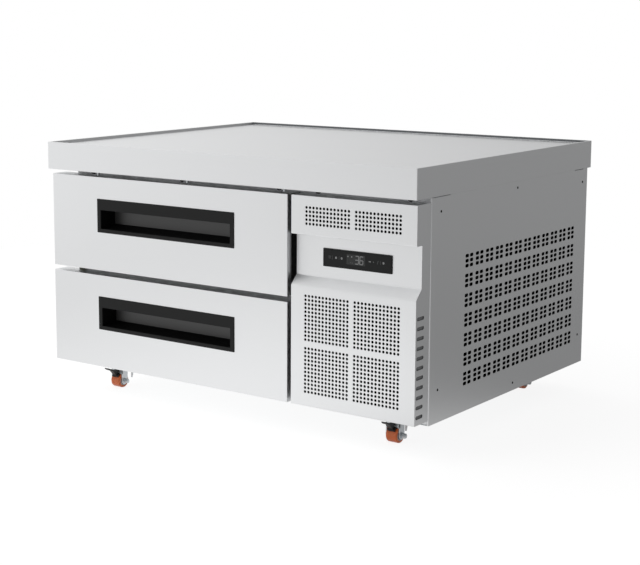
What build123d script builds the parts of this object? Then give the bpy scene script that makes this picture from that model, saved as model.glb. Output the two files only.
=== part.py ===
from build123d import *
import os

os.makedirs("parts", exist_ok=True)

# Refrigerated chef base: a low drawer fridge on casters that carries cooking equipment.
# Millimetres. X runs left to right, Y front to back, Z up from the floor.
# The origin is on the floor under the middle of the worktop.

# Driving dimensions
overall_width = 924
overall_depth = 729
caster_height = 60  # floor to the underside of the base
cabinet_height = 428  # underside of the base to the underside of the worktop
worktop_thickness = 58

# Worktop: a folded sheet whose raised rim keeps spills on the top
worktop_sheet = 2
rim_width = 5
rim_height = 6
worktop_corner_radius = 2

# Cabinet under the worktop
front_setback = 54
rear_setback = 16
left_setback = 35
right_setback = 1
panel_sheet = 1.5
hem_width = 4
frame_depth = 12
base_sheet = 2
side_wall_foam = 35
rear_wall_foam = 40
top_wall = 42
bottom_wall = 42
liner_sheet = 1
machine_bay_width = 280
stile_overlap = 10  # how far the front frame's stile reaches past the partition
bay_window_margin = 16

# Drawer fronts
front_face_setback = 6  # from the worktop's front edge to the faces of the drawers
front_left_setback = 8
front_thickness = 44
front_top_gap = 9.7
front_gap = 10
front_height = 199.5
front_right_gap = 8  # between the drawer fronts and the machine bay
front_skin_sheet = 1.2
front_return = 40
mid_rail_height = 40
gasket_clearance = 0.3
gasket_width = 10
gasket_margin = 2
bumper_width = 14
bumper_height = 8
bumper_drop = 7.5  # below the top of the upper drawer front
mid_bumper_height = 16  # between the drawer fronts

# Recessed pull moulded in black plastic
pull_width = 366
pull_height = 71.5
pull_top_drop = 46  # below the top of the drawer front
pull_flange = 1.5
pull_side_frame = 10
pull_bottom_frame = 8
pull_lip = 23.5
pull_lip_thickness = 3
pull_cup_wall = 2
pull_cup_margin = 4
pull_pocket_depth = 33
pull_pocket_draft = 12  # degrees

# Pan carrier and its telescopic runners
carrier_sheet = 1.5
carrier_height = 110
carrier_rear_gap = 9.5  # in front of the evaporator
carrier_foot = 10
full_pan_bay = 325.5
divider_height = 25
runner_end_gap = 16  # in front of the carrier's rear end
runner_start = 20  # behind the drawer front's rear face
runner_height = 45
runner_width = 13.5
runner_sheet = 1.5
runner_lip = 10
runner_play = 0.4

# Grille in front of the machine bay
grille_gap = 9  # between the drawer fronts and the grille
grille_right_setback = 3
grille_sheet = 1.5
cap_height = 75
recess_height = 80.5
recess_depth = 18.5
slope_height = 18.5
perforation_size = 12
perforation_pitch_x = 28.5
perforation_pitch_z = 22.5
perforation_columns = 4
cap_rows = 2
panel_rows = 4
field_pitch_x = 112.2
field_pitch_z = 102.3
cap_field_drop = 37.7
panel_field_drop = 61.2
cheek_slot_count = 11
cheek_slot_length = 25.4
cheek_slot_height = 7
cheek_slot_drop = 35.1  # highest slot below the slope
cheek_slot_rise = 14.9  # lowest slot above the grille's bottom
cheek_slot_setback = 3.8

# Temperature controller in the grille's recess
display_width = 153
display_height = 35
display_thickness = 2.5
display_drop = 116.5
controller_width = 140
controller_height = 28
controller_depth = 50
controller_fit = 0.3

# Vents in the right side panel and in the back
vent_columns = 12
vent_rows = 7
vent_rear_margin = 73.65  # from the last column to the panel's rear edge
vent_pitch_z = 38.3
vent_width_share = 0.73
vent_height = 25.5
vent_setback = 196.6  # first column, from the worktop's front edge
vent_drop = 191.7  # first row, below the worktop's rim
back_slot_count = 9
back_slot_pitch = 22
back_slot_width = 180
back_slot_height = 8
back_slot_rise = 200

# Evaporator unit at the back of the cold space
evaporator_side_gap = 46.5
evaporator_height = 150
evaporator_depth = 75
evaporator_rise = 90  # above the liner's floor
evaporator_sheet = 1.2
coil_window_gap = 30  # beside the fan's opening
coil_window_height = 110
coil_window_inset = 30
cooling_coil_lap = 10  # behind each side of its window
cooling_coil_height = 120
cooling_coil_depth = 55
cooling_coil_fins = 14
evaporator_fan_radius = 50
evaporator_fan_inset = 75
evaporator_fan_setback = 11  # from the housing's face to the middle of the fan
evaporator_motor_width = 52
drain_tray_height = 16
drain_tray_inset = 8
drain_radius = 7
drain_reach = 70  # into the machine bay, over the condensate pan
wall_hole_play = 0.3
probe_cover_length = 44
probe_cover_width = 20
probe_cover_depth = 14
probe_cover_chamfer = 3.5
probe_setback = 40  # from the liner's rear wall
probe_rise = 200

# Condensing unit
condenser_width = 230
condenser_height = 220
condenser_depth = 45
condenser_gap = 6  # behind the front frame
condenser_fins = 16
fin_groove = 3
shroud_depth = 34
shroud_sheet = 1.5
condenser_fan_radius = 84
fan_tip_gap = 5
fan_hub_depth = 14
fan_hub_sides = 16
fan_opening_sides = 24
fan_blade_count = 5
fan_blade_thickness = 1.6
fan_blade_pitch = 28  # degrees
fan_hub_share = 0.24
fan_root_share = 0.6
fan_tip_share = 0.93
fan_chord_share = 0.28
motor_gap = 3  # between a fan's hub and its motor
motor_radius = 40
motor_length = 46
motor_sides = 24
motor_shaft_radius = 4
motor_shaft_sides = 12
shaft_play = 0.3
motor_strut_width = 36
motor_strut_sheet = 4
motor_foot_depth = 30
compressor_setback = 320  # centre, from the worktop's front edge
compressor_radius = 72
compressor_sides = 24
compressor_height = 150
compressor_crown_height = 34
compressor_crown_taper = 41.4  # degrees
compressor_plate_width = 180
compressor_plate_sheet = 3
foot_size = 24
foot_height = 10
foot_inset = 18
terminal_box_width = 46
terminal_box_height = 56
terminal_box_depth = 30
terminal_box_rise = 62  # its middle, above the compressor's foot
drier_radius = 14
drier_sides = 16
drier_length = 110
drier_clip_width = 10
drier_clip_depth = 14
drier_clip_height = 14
drier_setback = 245
drier_rise = 138
line_radius = 4
line_sides = 8
discharge_line_rise = 16  # above the condenser
liquid_line_rise = 40  # above the condenser
port_offset = 30  # of the compressor's ports from its middle
suction_rise = 45  # above the middle of the evaporator
pan_length = 150
pan_width = 190
pan_height = 45
pan_sheet = 1.5
pan_rear_gap = 20
control_box_width = 150
control_box_height = 110
control_box_depth = 120
control_box_setback = 90
control_box_drop = 12
gland_radius = 10.7
gland_play = 0.3
gland_hex_radius = 14
gland_hex_depth = 4
gland_cap_radius = 11.5
gland_cap_depth = 8
gland_inner_depth = 10
gland_sides = 16
gland_rise = 60
gland_inset = 60

# Casters
caster_inset_x = 104  # swivel axis from the worktop's sides
caster_inset_y = 67.5  # swivel axis from the cabinet's front and back
caster_trail = 17
wheel_radius = 15.5
wheel_width = 25
axle_radius = 3
axle_play = 0.05
fork_play = 0.8
fork_sheet = 2.5
fork_leg_width = 15
fork_leg_corner = 4
fork_leg_foot = 7  # below the axle
fork_crown_drop = 15  # crown's upper face below the cabinet
swivel_radius = 13
swivel_sides = 16
swivel_play = 0.3
kingpin_radius = 5
kingpin_play = 0.05
kingpin_end = 1.5  # below the crown
plate_size = 60
plate_sheet = 3
tail_width = 4
tail_reach = 23  # behind the swivel axis
tail_knee_reach = 22
tail_knee_height = 26
tail_tip_reach = 18.5
tail_tip_height = 14.5
tail_front_reach = 17.5
tail_root_height = 40
pedal_width = 22
pedal_lug_width = 8
pedal_tip_width = 9
pedal_pin_radius = 2
pedal_pin_play = 0.05
pedal_pin_setback = 2  # behind the wheel's axle
pedal_pin_height = 38
pedal_shoe_gap = 0.6
pedal_rear = 6
pedal_heel_height = 34
pedal_lug_height = 41
pedal_lug_front = 1
pedal_knee = 9
pedal_knee_height = 40
pedal_bend = 27
pedal_bend_height = 43.5
pedal_tip = 44.5
pedal_tip_height = 51
pedal_tip_thickness = 2.5
pedal_neck = 26
pedal_neck_height = 38.5
pedal_root = 17
pedal_root_height = 26
pedal_web = 21
pedal_web_height = 29.5

# Planes of the whole cabinet
base_underside = caster_height
base_top = base_underside + base_sheet
worktop_underside = caster_height + cabinet_height
worktop_top = worktop_underside + worktop_thickness
front_edge = -overall_depth / 2
box_front = front_edge + front_setback
box_rear = overall_depth / 2 - rear_setback
box_left = -overall_width / 2 + left_setback
box_right = overall_width / 2 - right_setback
frame_back = box_front + frame_depth
frame_left = box_left + hem_width
frame_right = box_right - hem_width
wall_back = box_rear - panel_sheet
inner_left = box_left + panel_sheet
inner_right = box_right - panel_sheet
partition_left = inner_right - machine_bay_width
partition_right = partition_left + panel_sheet
bay_middle_x = (partition_right + inner_right) / 2

# Cold space
liner_left = inner_left + side_wall_foam + liner_sheet
liner_right = partition_left - side_wall_foam - liner_sheet
liner_bottom = base_underside + bottom_wall
liner_top = worktop_underside - top_wall
liner_rear = wall_back - rear_wall_foam - liner_sheet
liner_middle_x = (liner_left + liner_right) / 2

# Drawer fronts
front_face = front_edge + front_face_setback
front_back = front_face + front_thickness
front_left = -overall_width / 2 + front_left_setback
front_width = partition_left - front_right_gap - front_left
front_middle_x = front_left + front_width / 2
upper_front_top = worktop_underside - front_top_gap
lower_front_top = upper_front_top - front_height - front_gap
front_bottom = lower_front_top - front_height
mid_rail_z = lower_front_top + front_gap / 2
upper_opening_bottom = mid_rail_z + mid_rail_height / 2
lower_opening_top = mid_rail_z - mid_rail_height / 2
drawer_levels = {
    "upper": (upper_front_top, upper_opening_bottom, liner_top),
    "lower": (lower_front_top, liner_bottom, lower_opening_top),
}

# Evaporator
evaporator_left = liner_left + evaporator_side_gap
evaporator_right = liner_right - evaporator_side_gap
evaporator_front = liner_rear - evaporator_depth
evaporator_bottom = liner_bottom + evaporator_rise
evaporator_top = evaporator_bottom + evaporator_height
evaporator_middle_z = (evaporator_bottom + evaporator_top) / 2
evaporator_fan_x = evaporator_right - evaporator_fan_inset
evaporator_fan_y = evaporator_front + evaporator_fan_setback
coil_window_left = evaporator_left + coil_window_inset
coil_window_right = evaporator_fan_x - evaporator_fan_radius - fan_tip_gap - coil_window_gap
cooling_coil_left = coil_window_left - cooling_coil_lap
cooling_coil_right = coil_window_right + cooling_coil_lap
suction_y = liner_rear - cooling_coil_depth / 2
suction_z = evaporator_middle_z + suction_rise
drain_y = liner_rear - evaporator_depth / 2
drain_z = evaporator_bottom - drain_tray_height / 2
carrier_back = evaporator_front - carrier_rear_gap
runner_front = front_back + runner_start
runner_length = carrier_back - runner_end_gap - runner_front

# Condensing unit
condenser_front = frame_back + condenser_gap
condenser_back = condenser_front + condenser_depth
condenser_top = base_top + condenser_height
condenser_middle_z = base_top + condenser_height / 2
shroud_back = condenser_back + shroud_depth
condenser_fan_y = shroud_back - shroud_sheet / 2
motor_front = condenser_fan_y + fan_hub_depth / 2 + motor_gap
compressor_y = front_edge + compressor_setback
compressor_bottom = base_top + foot_height + compressor_plate_sheet
compressor_top = compressor_bottom + compressor_height
drier_x = partition_right + drier_clip_depth + drier_radius
drier_y = front_edge + drier_setback
drier_bottom = base_top + drier_rise
drier_top = drier_bottom + drier_length
gland_x = inner_right - gland_inset
gland_z = base_top + gland_rise

# Grille
grille_left = front_left + front_width + grille_gap
grille_right = overall_width / 2 - grille_right_setback
grille_width = grille_right - grille_left
grille_middle_x = (grille_left + grille_right) / 2
cap_bottom = upper_front_top - cap_height
recess_bottom = cap_bottom - recess_height
panel_top = recess_bottom - slope_height
recess_face = front_face + recess_depth
display_z = upper_front_top - display_drop

# Casters
swivel_centres = {
    "front_left": (-overall_width / 2 + caster_inset_x, box_front + caster_inset_y),
    "front_right": (overall_width / 2 - caster_inset_x, box_front + caster_inset_y),
    "rear_left": (-overall_width / 2 + caster_inset_x, box_rear - caster_inset_y),
    "rear_right": (overall_width / 2 - caster_inset_x, box_rear - caster_inset_y),
}
crown_top = base_underside - fork_crown_drop
crown_bottom = crown_top - fork_sheet
plate_bottom = base_underside - plate_sheet
fork_inside = wheel_width / 2 + fork_play
fork_outside = fork_inside + fork_sheet


# A straight-sided block between two opposite corners
def block(low, high, mode=Mode.ADD):
    with BuildSketch(Plane.XY.offset(low[2])) as footprint:
        with Locations(((low[0] + high[0]) / 2, (low[1] + high[1]) / 2)):
            Rectangle(high[0] - low[0], high[1] - low[1])
    extrude(footprint.sketch, amount=high[2] - low[2], mode=mode)


# A round bar along the plane's normal
def bar(plane, radius, length, mode=Mode.ADD):
    with BuildSketch(plane) as section:
        Circle(radius)
    extrude(section.sketch, amount=length, mode=mode)


# A many-sided drum along the plane's normal, wide across its corners or across its flats
def drum(plane, radius, length, sides, mode=Mode.ADD):
    with BuildSketch(plane) as section:
        RegularPolygon(radius, sides, major_radius=mode == Mode.ADD)
    extrude(section.sketch, amount=length, mode=mode)


# Square ports for the drain and the suction line through the cold box's right wall
def pipe_ports(start_x, depth):
    drain_port = 2 * (drain_radius + wall_hole_play)
    suction_port = 2 * (line_radius + wall_hole_play)
    with BuildSketch(Plane.YZ.offset(start_x)) as ports:
        with Locations((drain_y, drain_z)):
            Rectangle(drain_port, drain_port)
        with Locations((suction_y, suction_z)):
            Rectangle(suction_port, suction_port)
    extrude(ports.sketch, amount=depth, mode=Mode.SUBTRACT)


# Worktop
with BuildPart() as worktop:
    with BuildSketch(Plane.XY.offset(worktop_underside)):
        RectangleRounded(overall_width, overall_depth, worktop_corner_radius)
    extrude(amount=worktop_thickness)
    with BuildSketch(Plane.XY.offset(worktop_top)):
        Rectangle(overall_width - 2 * rim_width, overall_depth - 2 * rim_width)
    extrude(amount=-rim_height, mode=Mode.SUBTRACT)
    with BuildSketch(Plane.XY.offset(worktop_underside)):
        Rectangle(overall_width - 2 * worktop_sheet, overall_depth - 2 * worktop_sheet)
    extrude(amount=worktop_thickness - rim_height - worktop_sheet, mode=Mode.SUBTRACT)
worktop.part.label = "worktop"
export_step(worktop.part, "parts/worktop.step")

# Stiffening foam inside the worktop
with BuildPart() as worktop_filling:
    with BuildSketch(Plane.XY.offset(worktop_underside)):
        Rectangle(overall_width - 2 * worktop_sheet, overall_depth - 2 * worktop_sheet)
    extrude(amount=worktop_thickness - rim_height - worktop_sheet)
worktop_filling.part.label = "worktop_filling"
export_step(worktop_filling.part, "parts/worktop_filling.step")


# Side sheet whose front edge is folded back into a hem; inward is 1 or -1
def side_profile(outer, inward):
    with BuildSketch(Plane.XY.offset(base_underside)) as profile:
        with BuildLine():
            Polyline(
                (outer, box_front),
                (outer, box_rear),
                (outer + inward * panel_sheet, box_rear),
                (outer + inward * panel_sheet, frame_back),
                (outer + inward * hem_width, frame_back),
                (outer + inward * hem_width, box_front),
                close=True,
            )
        make_face()
    extrude(profile.sketch, amount=cabinet_height)


with BuildPart() as left_side_panel:
    side_profile(box_left, 1)
left_side_panel.part.label = "left_side_panel"
export_step(left_side_panel.part, "parts/left_side_panel.step")

with BuildPart() as right_side_panel:
    side_profile(box_right, -1)
    vent_span = box_rear - vent_rear_margin - front_edge - vent_setback
    vent_pitch_y = vent_span / (vent_columns - 1)
    vent_middle_y = front_edge + vent_setback + vent_span / 2
    vent_middle_z = worktop_top - vent_drop - (vent_rows - 1) / 2 * vent_pitch_z
    with BuildSketch(Plane.YZ.offset(box_right)):
        with Locations((vent_middle_y, vent_middle_z)):
            with GridLocations(vent_pitch_y, vent_pitch_z, vent_columns, vent_rows):
                Rectangle(vent_pitch_y * vent_width_share, vent_height)
    extrude(amount=-panel_sheet, mode=Mode.SUBTRACT)
right_side_panel.part.label = "right_side_panel"
export_step(right_side_panel.part, "parts/right_side_panel.step")

with BuildPart() as back_panel:
    block((inner_left, wall_back, base_top), (inner_right, box_rear, worktop_underside))
    back_slot_z = base_top + back_slot_rise + (back_slot_count - 1) / 2 * back_slot_pitch
    with BuildSketch(Plane.XZ.offset(-box_rear)):
        with Locations((bay_middle_x, back_slot_z)):
            with GridLocations(back_slot_pitch, back_slot_pitch, 1, back_slot_count):
                Rectangle(back_slot_width, back_slot_height)
        with Locations((gland_x, gland_z)):
            Circle(gland_radius + gland_play)
    extrude(amount=panel_sheet, mode=Mode.SUBTRACT)
back_panel.part.label = "back_panel"
export_step(back_panel.part, "parts/back_panel.step")

with BuildPart() as base_pan:
    block((inner_left, frame_back, base_underside), (inner_right, box_rear, base_top))
    block((frame_left, box_front, base_underside), (frame_right, frame_back, base_top))
base_pan.part.label = "base_pan"
export_step(base_pan.part, "parts/base_pan.step")

with BuildPart() as partition_panel:
    block(
        (partition_left, frame_back, base_top),
        (partition_right, wall_back, worktop_underside),
    )
    pipe_ports(partition_left, panel_sheet)
partition_panel.part.label = "partition_panel"
export_step(partition_panel.part, "parts/partition_panel.step")

# Foam walls of the cold box
with BuildPart() as insulation:
    block(
        (inner_left, frame_back, base_top),
        (partition_left, wall_back, worktop_underside),
    )
    block(
        (liner_left - liner_sheet, frame_back, liner_bottom - liner_sheet),
        (liner_right + liner_sheet, liner_rear + liner_sheet, liner_top + liner_sheet),
        mode=Mode.SUBTRACT,
    )
    pipe_ports(liner_right, liner_sheet + side_wall_foam)
insulation.part.label = "insulation"
export_step(insulation.part, "parts/insulation.step")

with BuildPart() as inner_liner:
    block(
        (liner_left - liner_sheet, frame_back, liner_bottom - liner_sheet),
        (liner_right + liner_sheet, liner_rear + liner_sheet, liner_top + liner_sheet),
    )
    block(
        (liner_left, frame_back, liner_bottom),
        (liner_right, liner_rear, liner_top),
        mode=Mode.SUBTRACT,
    )
    pipe_ports(liner_right, liner_sheet)
inner_liner.part.label = "inner_liner"
export_step(inner_liner.part, "parts/inner_liner.step")

# Front frame: stiles and rails round both drawer openings and the machine bay
bay_left = partition_left + stile_overlap
bay_right = frame_right - bay_window_margin
frame_windows = (
    (liner_left, liner_right, liner_bottom, lower_opening_top),
    (liner_left, liner_right, upper_opening_bottom, liner_top),
    (bay_left, bay_right, base_top + bay_window_margin, liner_top),
)
with BuildPart() as face_frame:
    block((frame_left, box_front, base_top), (frame_right, frame_back, worktop_underside))
    for left, right, bottom, top in frame_windows:
        block((left, box_front, bottom), (right, frame_back, top), mode=Mode.SUBTRACT)
face_frame.part.label = "face_frame"
export_step(face_frame.part, "parts/face_frame.step")

# Rubber stops that the closed drawer fronts meet
with BuildPart() as drawer_bumpers:
    for bumper_z, height in (
        (upper_front_top - bumper_drop, bumper_height),
        (mid_rail_z, mid_bumper_height),
    ):
        for left in (frame_left, partition_left - bumper_width):
            block(
                (left, front_back + gasket_clearance, bumper_z - height / 2),
                (left + bumper_width, box_front, bumper_z + height / 2),
            )
drawer_bumpers.part.label = "drawer_bumpers"
export_step(drawer_bumpers.part, "parts/drawer_bumpers.step")

# Telescopic runners: three nested channels on each side of each drawer
carrier_left = liner_left + runner_width
carrier_right = liner_right - runner_width
member_step = runner_sheet + runner_play
middle_web = runner_sheet + runner_play
middle_lip = runner_lip + runner_play
inner_web = runner_width - runner_sheet
inner_lip = middle_web + runner_sheet + runner_play


# One channel: its web and lip are distances from the liner's wall
def channel(wall, inward, web, lip, height, middle_z):
    outside_x = wall + inward * (web if lip > web else web + runner_sheet)
    inside_x = wall + inward * (web + runner_sheet if lip > web else web)
    lip_x = wall + inward * lip
    bottom = middle_z - height / 2
    top = middle_z + height / 2
    with BuildSketch(Plane.XZ.offset(-runner_front)) as profile:
        with BuildLine():
            Polyline(
                (outside_x, bottom),
                (lip_x, bottom),
                (lip_x, bottom + runner_sheet),
                (inside_x, bottom + runner_sheet),
                (inside_x, top - runner_sheet),
                (lip_x, top - runner_sheet),
                (lip_x, top),
                (outside_x, top),
                close=True,
            )
        make_face()
    extrude(profile.sketch, amount=-runner_length)


# A left and a right channel for the drawer whose opening has this middle
def channel_pair(web, lip, height, middle_z):
    channel(liner_left, 1, web, lip, height, middle_z)
    channel(liner_right, -1, web, lip, height, middle_z)


with BuildPart() as fixed_runners:
    for _, bottom, top in drawer_levels.values():
        channel_pair(0, runner_lip, runner_height, (bottom + top) / 2)
fixed_runners.part.label = "fixed_runners"
export_step(fixed_runners.part, "parts/fixed_runners.step")

# Both drawers
for level, (front_top, opening_bottom, opening_top) in drawer_levels.items():
    middle_z = (opening_bottom + opening_top) / 2
    front_z = front_top - front_height / 2
    pull_z = front_top - pull_top_drop - pull_height / 2
    cup_width = pull_width - 2 * pull_cup_margin
    cup_height = pull_height - 2 * pull_cup_margin
    cup_depth = pull_lip_thickness + pull_pocket_depth + pull_cup_wall - pull_flange
    inside_width = front_width - 2 * front_skin_sheet
    inside_height = front_height - 2 * front_skin_sheet

    with BuildPart() as middle_runners:
        channel_pair(middle_web, middle_lip, runner_height - 2 * member_step, middle_z)
    middle_runners.part.label = f"{level}_middle_runners"
    export_step(middle_runners.part, f"parts/{level}_middle_runners.step")

    with BuildPart() as inner_runners:
        channel_pair(inner_web, inner_lip, runner_height - 4 * member_step, middle_z)
    inner_runners.part.label = f"{level}_inner_runners"
    export_step(inner_runners.part, f"parts/{level}_inner_runners.step")

    with BuildPart() as front_skin:
        with BuildSketch(Plane.XZ.offset(-front_face)):
            with Locations((front_middle_x, front_z)):
                Rectangle(front_width, front_height)
        extrude(amount=-front_return)
        with BuildSketch(Plane.XZ.offset(-front_face - front_skin_sheet)):
            with Locations((front_middle_x, front_z)):
                Rectangle(inside_width, inside_height)
        extrude(amount=-front_return, mode=Mode.SUBTRACT)
        with BuildSketch(Plane.XZ.offset(-front_face)):
            with Locations((front_middle_x, pull_z)):
                Rectangle(cup_width, cup_height)
        extrude(amount=-front_skin_sheet, mode=Mode.SUBTRACT)
    front_skin.part.label = f"{level}_front_skin"
    export_step(front_skin.part, f"parts/{level}_front_skin.step")

    with BuildPart() as front_core:
        with BuildSketch(Plane.XZ.offset(-front_back)):
            with Locations((front_middle_x, front_z)):
                Rectangle(inside_width, inside_height)
        extrude(amount=front_thickness - front_skin_sheet)
        with BuildSketch(Plane.XZ.offset(-front_face)):
            with Locations((front_middle_x, pull_z)):
                Rectangle(cup_width, cup_height)
        extrude(amount=-cup_depth, mode=Mode.SUBTRACT)
    front_core.part.label = f"{level}_front_core"
    export_step(front_core.part, f"parts/{level}_front_core.step")

    with BuildPart() as gasket:
        with BuildSketch(Plane.XZ.offset(gasket_clearance - box_front)):
            with Locations((liner_middle_x, middle_z)):
                Rectangle(
                    liner_right - liner_left + 2 * (gasket_margin + gasket_width),
                    opening_top - opening_bottom + 2 * (gasket_margin + gasket_width),
                )
                Rectangle(
                    liner_right - liner_left + 2 * gasket_margin,
                    opening_top - opening_bottom + 2 * gasket_margin,
                    mode=Mode.SUBTRACT,
                )
        extrude(amount=box_front - gasket_clearance - front_back)
    gasket.part.label = f"{level}_gasket"
    export_step(gasket.part, f"parts/{level}_gasket.step")

    # The pull: a flat frame, a cup behind it, a drafted pocket and a lip to hold
    pocket_top = pull_z + cup_height / 2 - pull_cup_wall
    pocket_bottom = pull_z - pull_height / 2 + pull_bottom_frame
    pocket_width = pull_width - 2 * pull_side_frame
    mouth_top = pull_z + pull_height / 2 - pull_lip
    with BuildPart() as pull:
        with BuildSketch(Plane.XZ.offset(-front_face)):
            with Locations((front_middle_x, pull_z)):
                Rectangle(pull_width, pull_height)
        extrude(amount=pull_flange)
        with BuildSketch(Plane.XZ.offset(-front_face)):
            with Locations((front_middle_x, pull_z)):
                Rectangle(cup_width, cup_height)
        extrude(amount=-cup_depth)
        with BuildSketch(Plane.XZ.offset(pull_flange - front_face - pull_lip_thickness)):
            with Locations((front_middle_x, (pocket_top + pocket_bottom) / 2)):
                Rectangle(pocket_width, pocket_top - pocket_bottom)
        extrude(amount=-pull_pocket_depth, taper=pull_pocket_draft, mode=Mode.SUBTRACT)
        with BuildSketch(Plane.XZ.offset(pull_flange - front_face)):
            with Locations((front_middle_x, (mouth_top + pocket_bottom) / 2)):
                Rectangle(pocket_width, mouth_top - pocket_bottom)
        extrude(amount=-pull_lip_thickness, mode=Mode.SUBTRACT)
    pull.part.label = f"{level}_pull"
    export_step(pull.part, f"parts/{level}_pull.step")

    # The carrier: an open frame that holds one full pan and one third pan by their rims
    bottom = middle_z - carrier_height / 2
    top = middle_z + carrier_height / 2
    divider_x = carrier_left + carrier_sheet + full_pan_bay
    with BuildPart() as pan_carrier:
        block((carrier_left, front_back, bottom), (carrier_right, carrier_back, top))
        block(
            (carrier_left + carrier_sheet, front_back + carrier_sheet, bottom + carrier_sheet),
            (carrier_right - carrier_sheet, carrier_back - carrier_sheet, top),
            mode=Mode.SUBTRACT,
        )
        block(
            (carrier_left + carrier_foot, front_back + carrier_foot, bottom),
            (carrier_right - carrier_foot, carrier_back - carrier_foot, bottom + carrier_sheet),
            mode=Mode.SUBTRACT,
        )
        block(
            (divider_x, front_back + carrier_sheet, top - divider_height),
            (divider_x + carrier_sheet, carrier_back - carrier_sheet, top),
        )
    pan_carrier.part.label = f"{level}_pan_carrier"
    export_step(pan_carrier.part, f"parts/{level}_pan_carrier.step")

# Grille: cap, recess for the controller, slope and lower panel in one folded sheet
with BuildPart() as front_grille:
    with BuildSketch(Plane.YZ.offset(grille_left)):
        with BuildLine():
            Polyline(
                (box_front, front_bottom),
                (front_face, front_bottom),
                (front_face, panel_top),
                (recess_face, recess_bottom),
                (recess_face, cap_bottom),
                (front_face, cap_bottom),
                (front_face, upper_front_top),
                (box_front, upper_front_top),
                close=True,
            )
        make_face()
    extrude(amount=grille_width)
    with BuildSketch(Plane.YZ.offset(grille_left + grille_sheet)):
        with BuildLine():
            Polyline(
                (box_front, front_bottom + grille_sheet),
                (front_face + grille_sheet, front_bottom + grille_sheet),
                (front_face + grille_sheet, panel_top),
                (recess_face + grille_sheet, recess_bottom),
                (recess_face + grille_sheet, cap_bottom + grille_sheet),
                (front_face + grille_sheet, cap_bottom + grille_sheet),
                (front_face + grille_sheet, upper_front_top - grille_sheet),
                (box_front, upper_front_top - grille_sheet),
                close=True,
            )
        make_face()
    extrude(amount=grille_width - 2 * grille_sheet, mode=Mode.SUBTRACT)
    with BuildSketch(Plane.XZ.offset(-front_face)):
        with Locations((grille_middle_x, upper_front_top - cap_field_drop)):
            with GridLocations(field_pitch_x, field_pitch_z, 2, 1):
                with GridLocations(
                    perforation_pitch_x, perforation_pitch_z, perforation_columns, cap_rows
                ):
                    Rectangle(perforation_size, perforation_size)
        with Locations((grille_middle_x, panel_top - panel_field_drop - field_pitch_z / 2)):
            with GridLocations(field_pitch_x, field_pitch_z, 2, 2):
                with GridLocations(
                    perforation_pitch_x, perforation_pitch_z, perforation_columns, panel_rows
                ):
                    Rectangle(perforation_size, perforation_size)
    extrude(amount=-grille_sheet, mode=Mode.SUBTRACT)
    cheek_slot_y = front_face + cheek_slot_setback + cheek_slot_length / 2
    cheek_slot_span = panel_top - cheek_slot_drop - front_bottom - cheek_slot_rise
    cheek_slot_pitch = cheek_slot_span / (cheek_slot_count - 1)
    cheek_slot_z = panel_top - cheek_slot_drop - cheek_slot_span / 2
    with BuildSketch(Plane.YZ.offset(grille_right)):
        with Locations((cheek_slot_y, cheek_slot_z)):
            with GridLocations(cheek_slot_pitch, cheek_slot_pitch, 1, cheek_slot_count):
                Rectangle(cheek_slot_length, cheek_slot_height)
    extrude(amount=-grille_sheet, mode=Mode.SUBTRACT)
    with BuildSketch(Plane.XZ.offset(-recess_face)):
        with Locations((grille_middle_x, display_z)):
            Rectangle(
                controller_width + 2 * controller_fit, controller_height + 2 * controller_fit
            )
    extrude(amount=-grille_sheet, mode=Mode.SUBTRACT)
front_grille.part.label = "front_grille"
export_step(front_grille.part, "parts/front_grille.step")

with BuildPart() as temperature_controller:
    with BuildSketch(Plane.XZ.offset(-recess_face)):
        with Locations((grille_middle_x, display_z)):
            Rectangle(display_width, display_height)
    extrude(amount=display_thickness)
    with BuildSketch(Plane.XZ.offset(-recess_face)):
        with Locations((grille_middle_x, display_z)):
            Rectangle(controller_width, controller_height)
    extrude(amount=-controller_depth)
temperature_controller.part.label = "temperature_controller"
export_step(temperature_controller.part, "parts/temperature_controller.step")


# Pitched blades on a hub; the fan turns about Y
def fan_rotor(centre, tip_radius):
    hub_radius = tip_radius * fan_hub_share
    axis = Plane(origin=centre, z_dir=(0, -1, 0))
    root = hub_radius * fan_root_share
    tip = tip_radius * fan_tip_share
    chord = tip_radius * fan_chord_share
    drum(axis.offset(-fan_hub_depth / 2), hub_radius, fan_hub_depth, fan_hub_sides)
    for turn in range(fan_blade_count):
        spoke = Vector(1, 0, 0).rotate(Axis.Y, turn * 360 / fan_blade_count)
        normal = Vector(0, -1, 0).rotate(Axis((0, 0, 0), spoke), fan_blade_pitch)
        with BuildSketch(Plane(origin=centre, x_dir=spoke, z_dir=normal)) as blade:
            with BuildLine():
                Polyline(
                    (root, -root / 2), (tip, -chord), (tip, chord), (root, root / 2), close=True
                )
            make_face()
        extrude(blade.sketch, amount=fan_blade_thickness / 2, both=True)


# Evaporator unit
with BuildPart() as evaporator_housing:
    block(
        (evaporator_left, evaporator_front, evaporator_bottom),
        (evaporator_right, liner_rear, evaporator_top),
    )
    block(
        (
            evaporator_left + evaporator_sheet,
            evaporator_front + evaporator_sheet,
            evaporator_bottom + evaporator_sheet,
        ),
        (
            evaporator_right - evaporator_sheet,
            liner_rear,
            evaporator_top - evaporator_sheet,
        ),
        mode=Mode.SUBTRACT,
    )
    with BuildSketch(Plane.XZ.offset(-evaporator_front)):
        with Locations(((coil_window_left + coil_window_right) / 2, evaporator_middle_z)):
            Rectangle(coil_window_right - coil_window_left, coil_window_height)
        with Locations((evaporator_fan_x, evaporator_middle_z)):
            RegularPolygon(
                evaporator_fan_radius + fan_tip_gap, fan_opening_sides, major_radius=False
            )
    extrude(amount=-evaporator_sheet, mode=Mode.SUBTRACT)
    pipe_ports(evaporator_right, -evaporator_sheet)
evaporator_housing.part.label = "evaporator_housing"
export_step(evaporator_housing.part, "parts/evaporator_housing.step")


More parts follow.
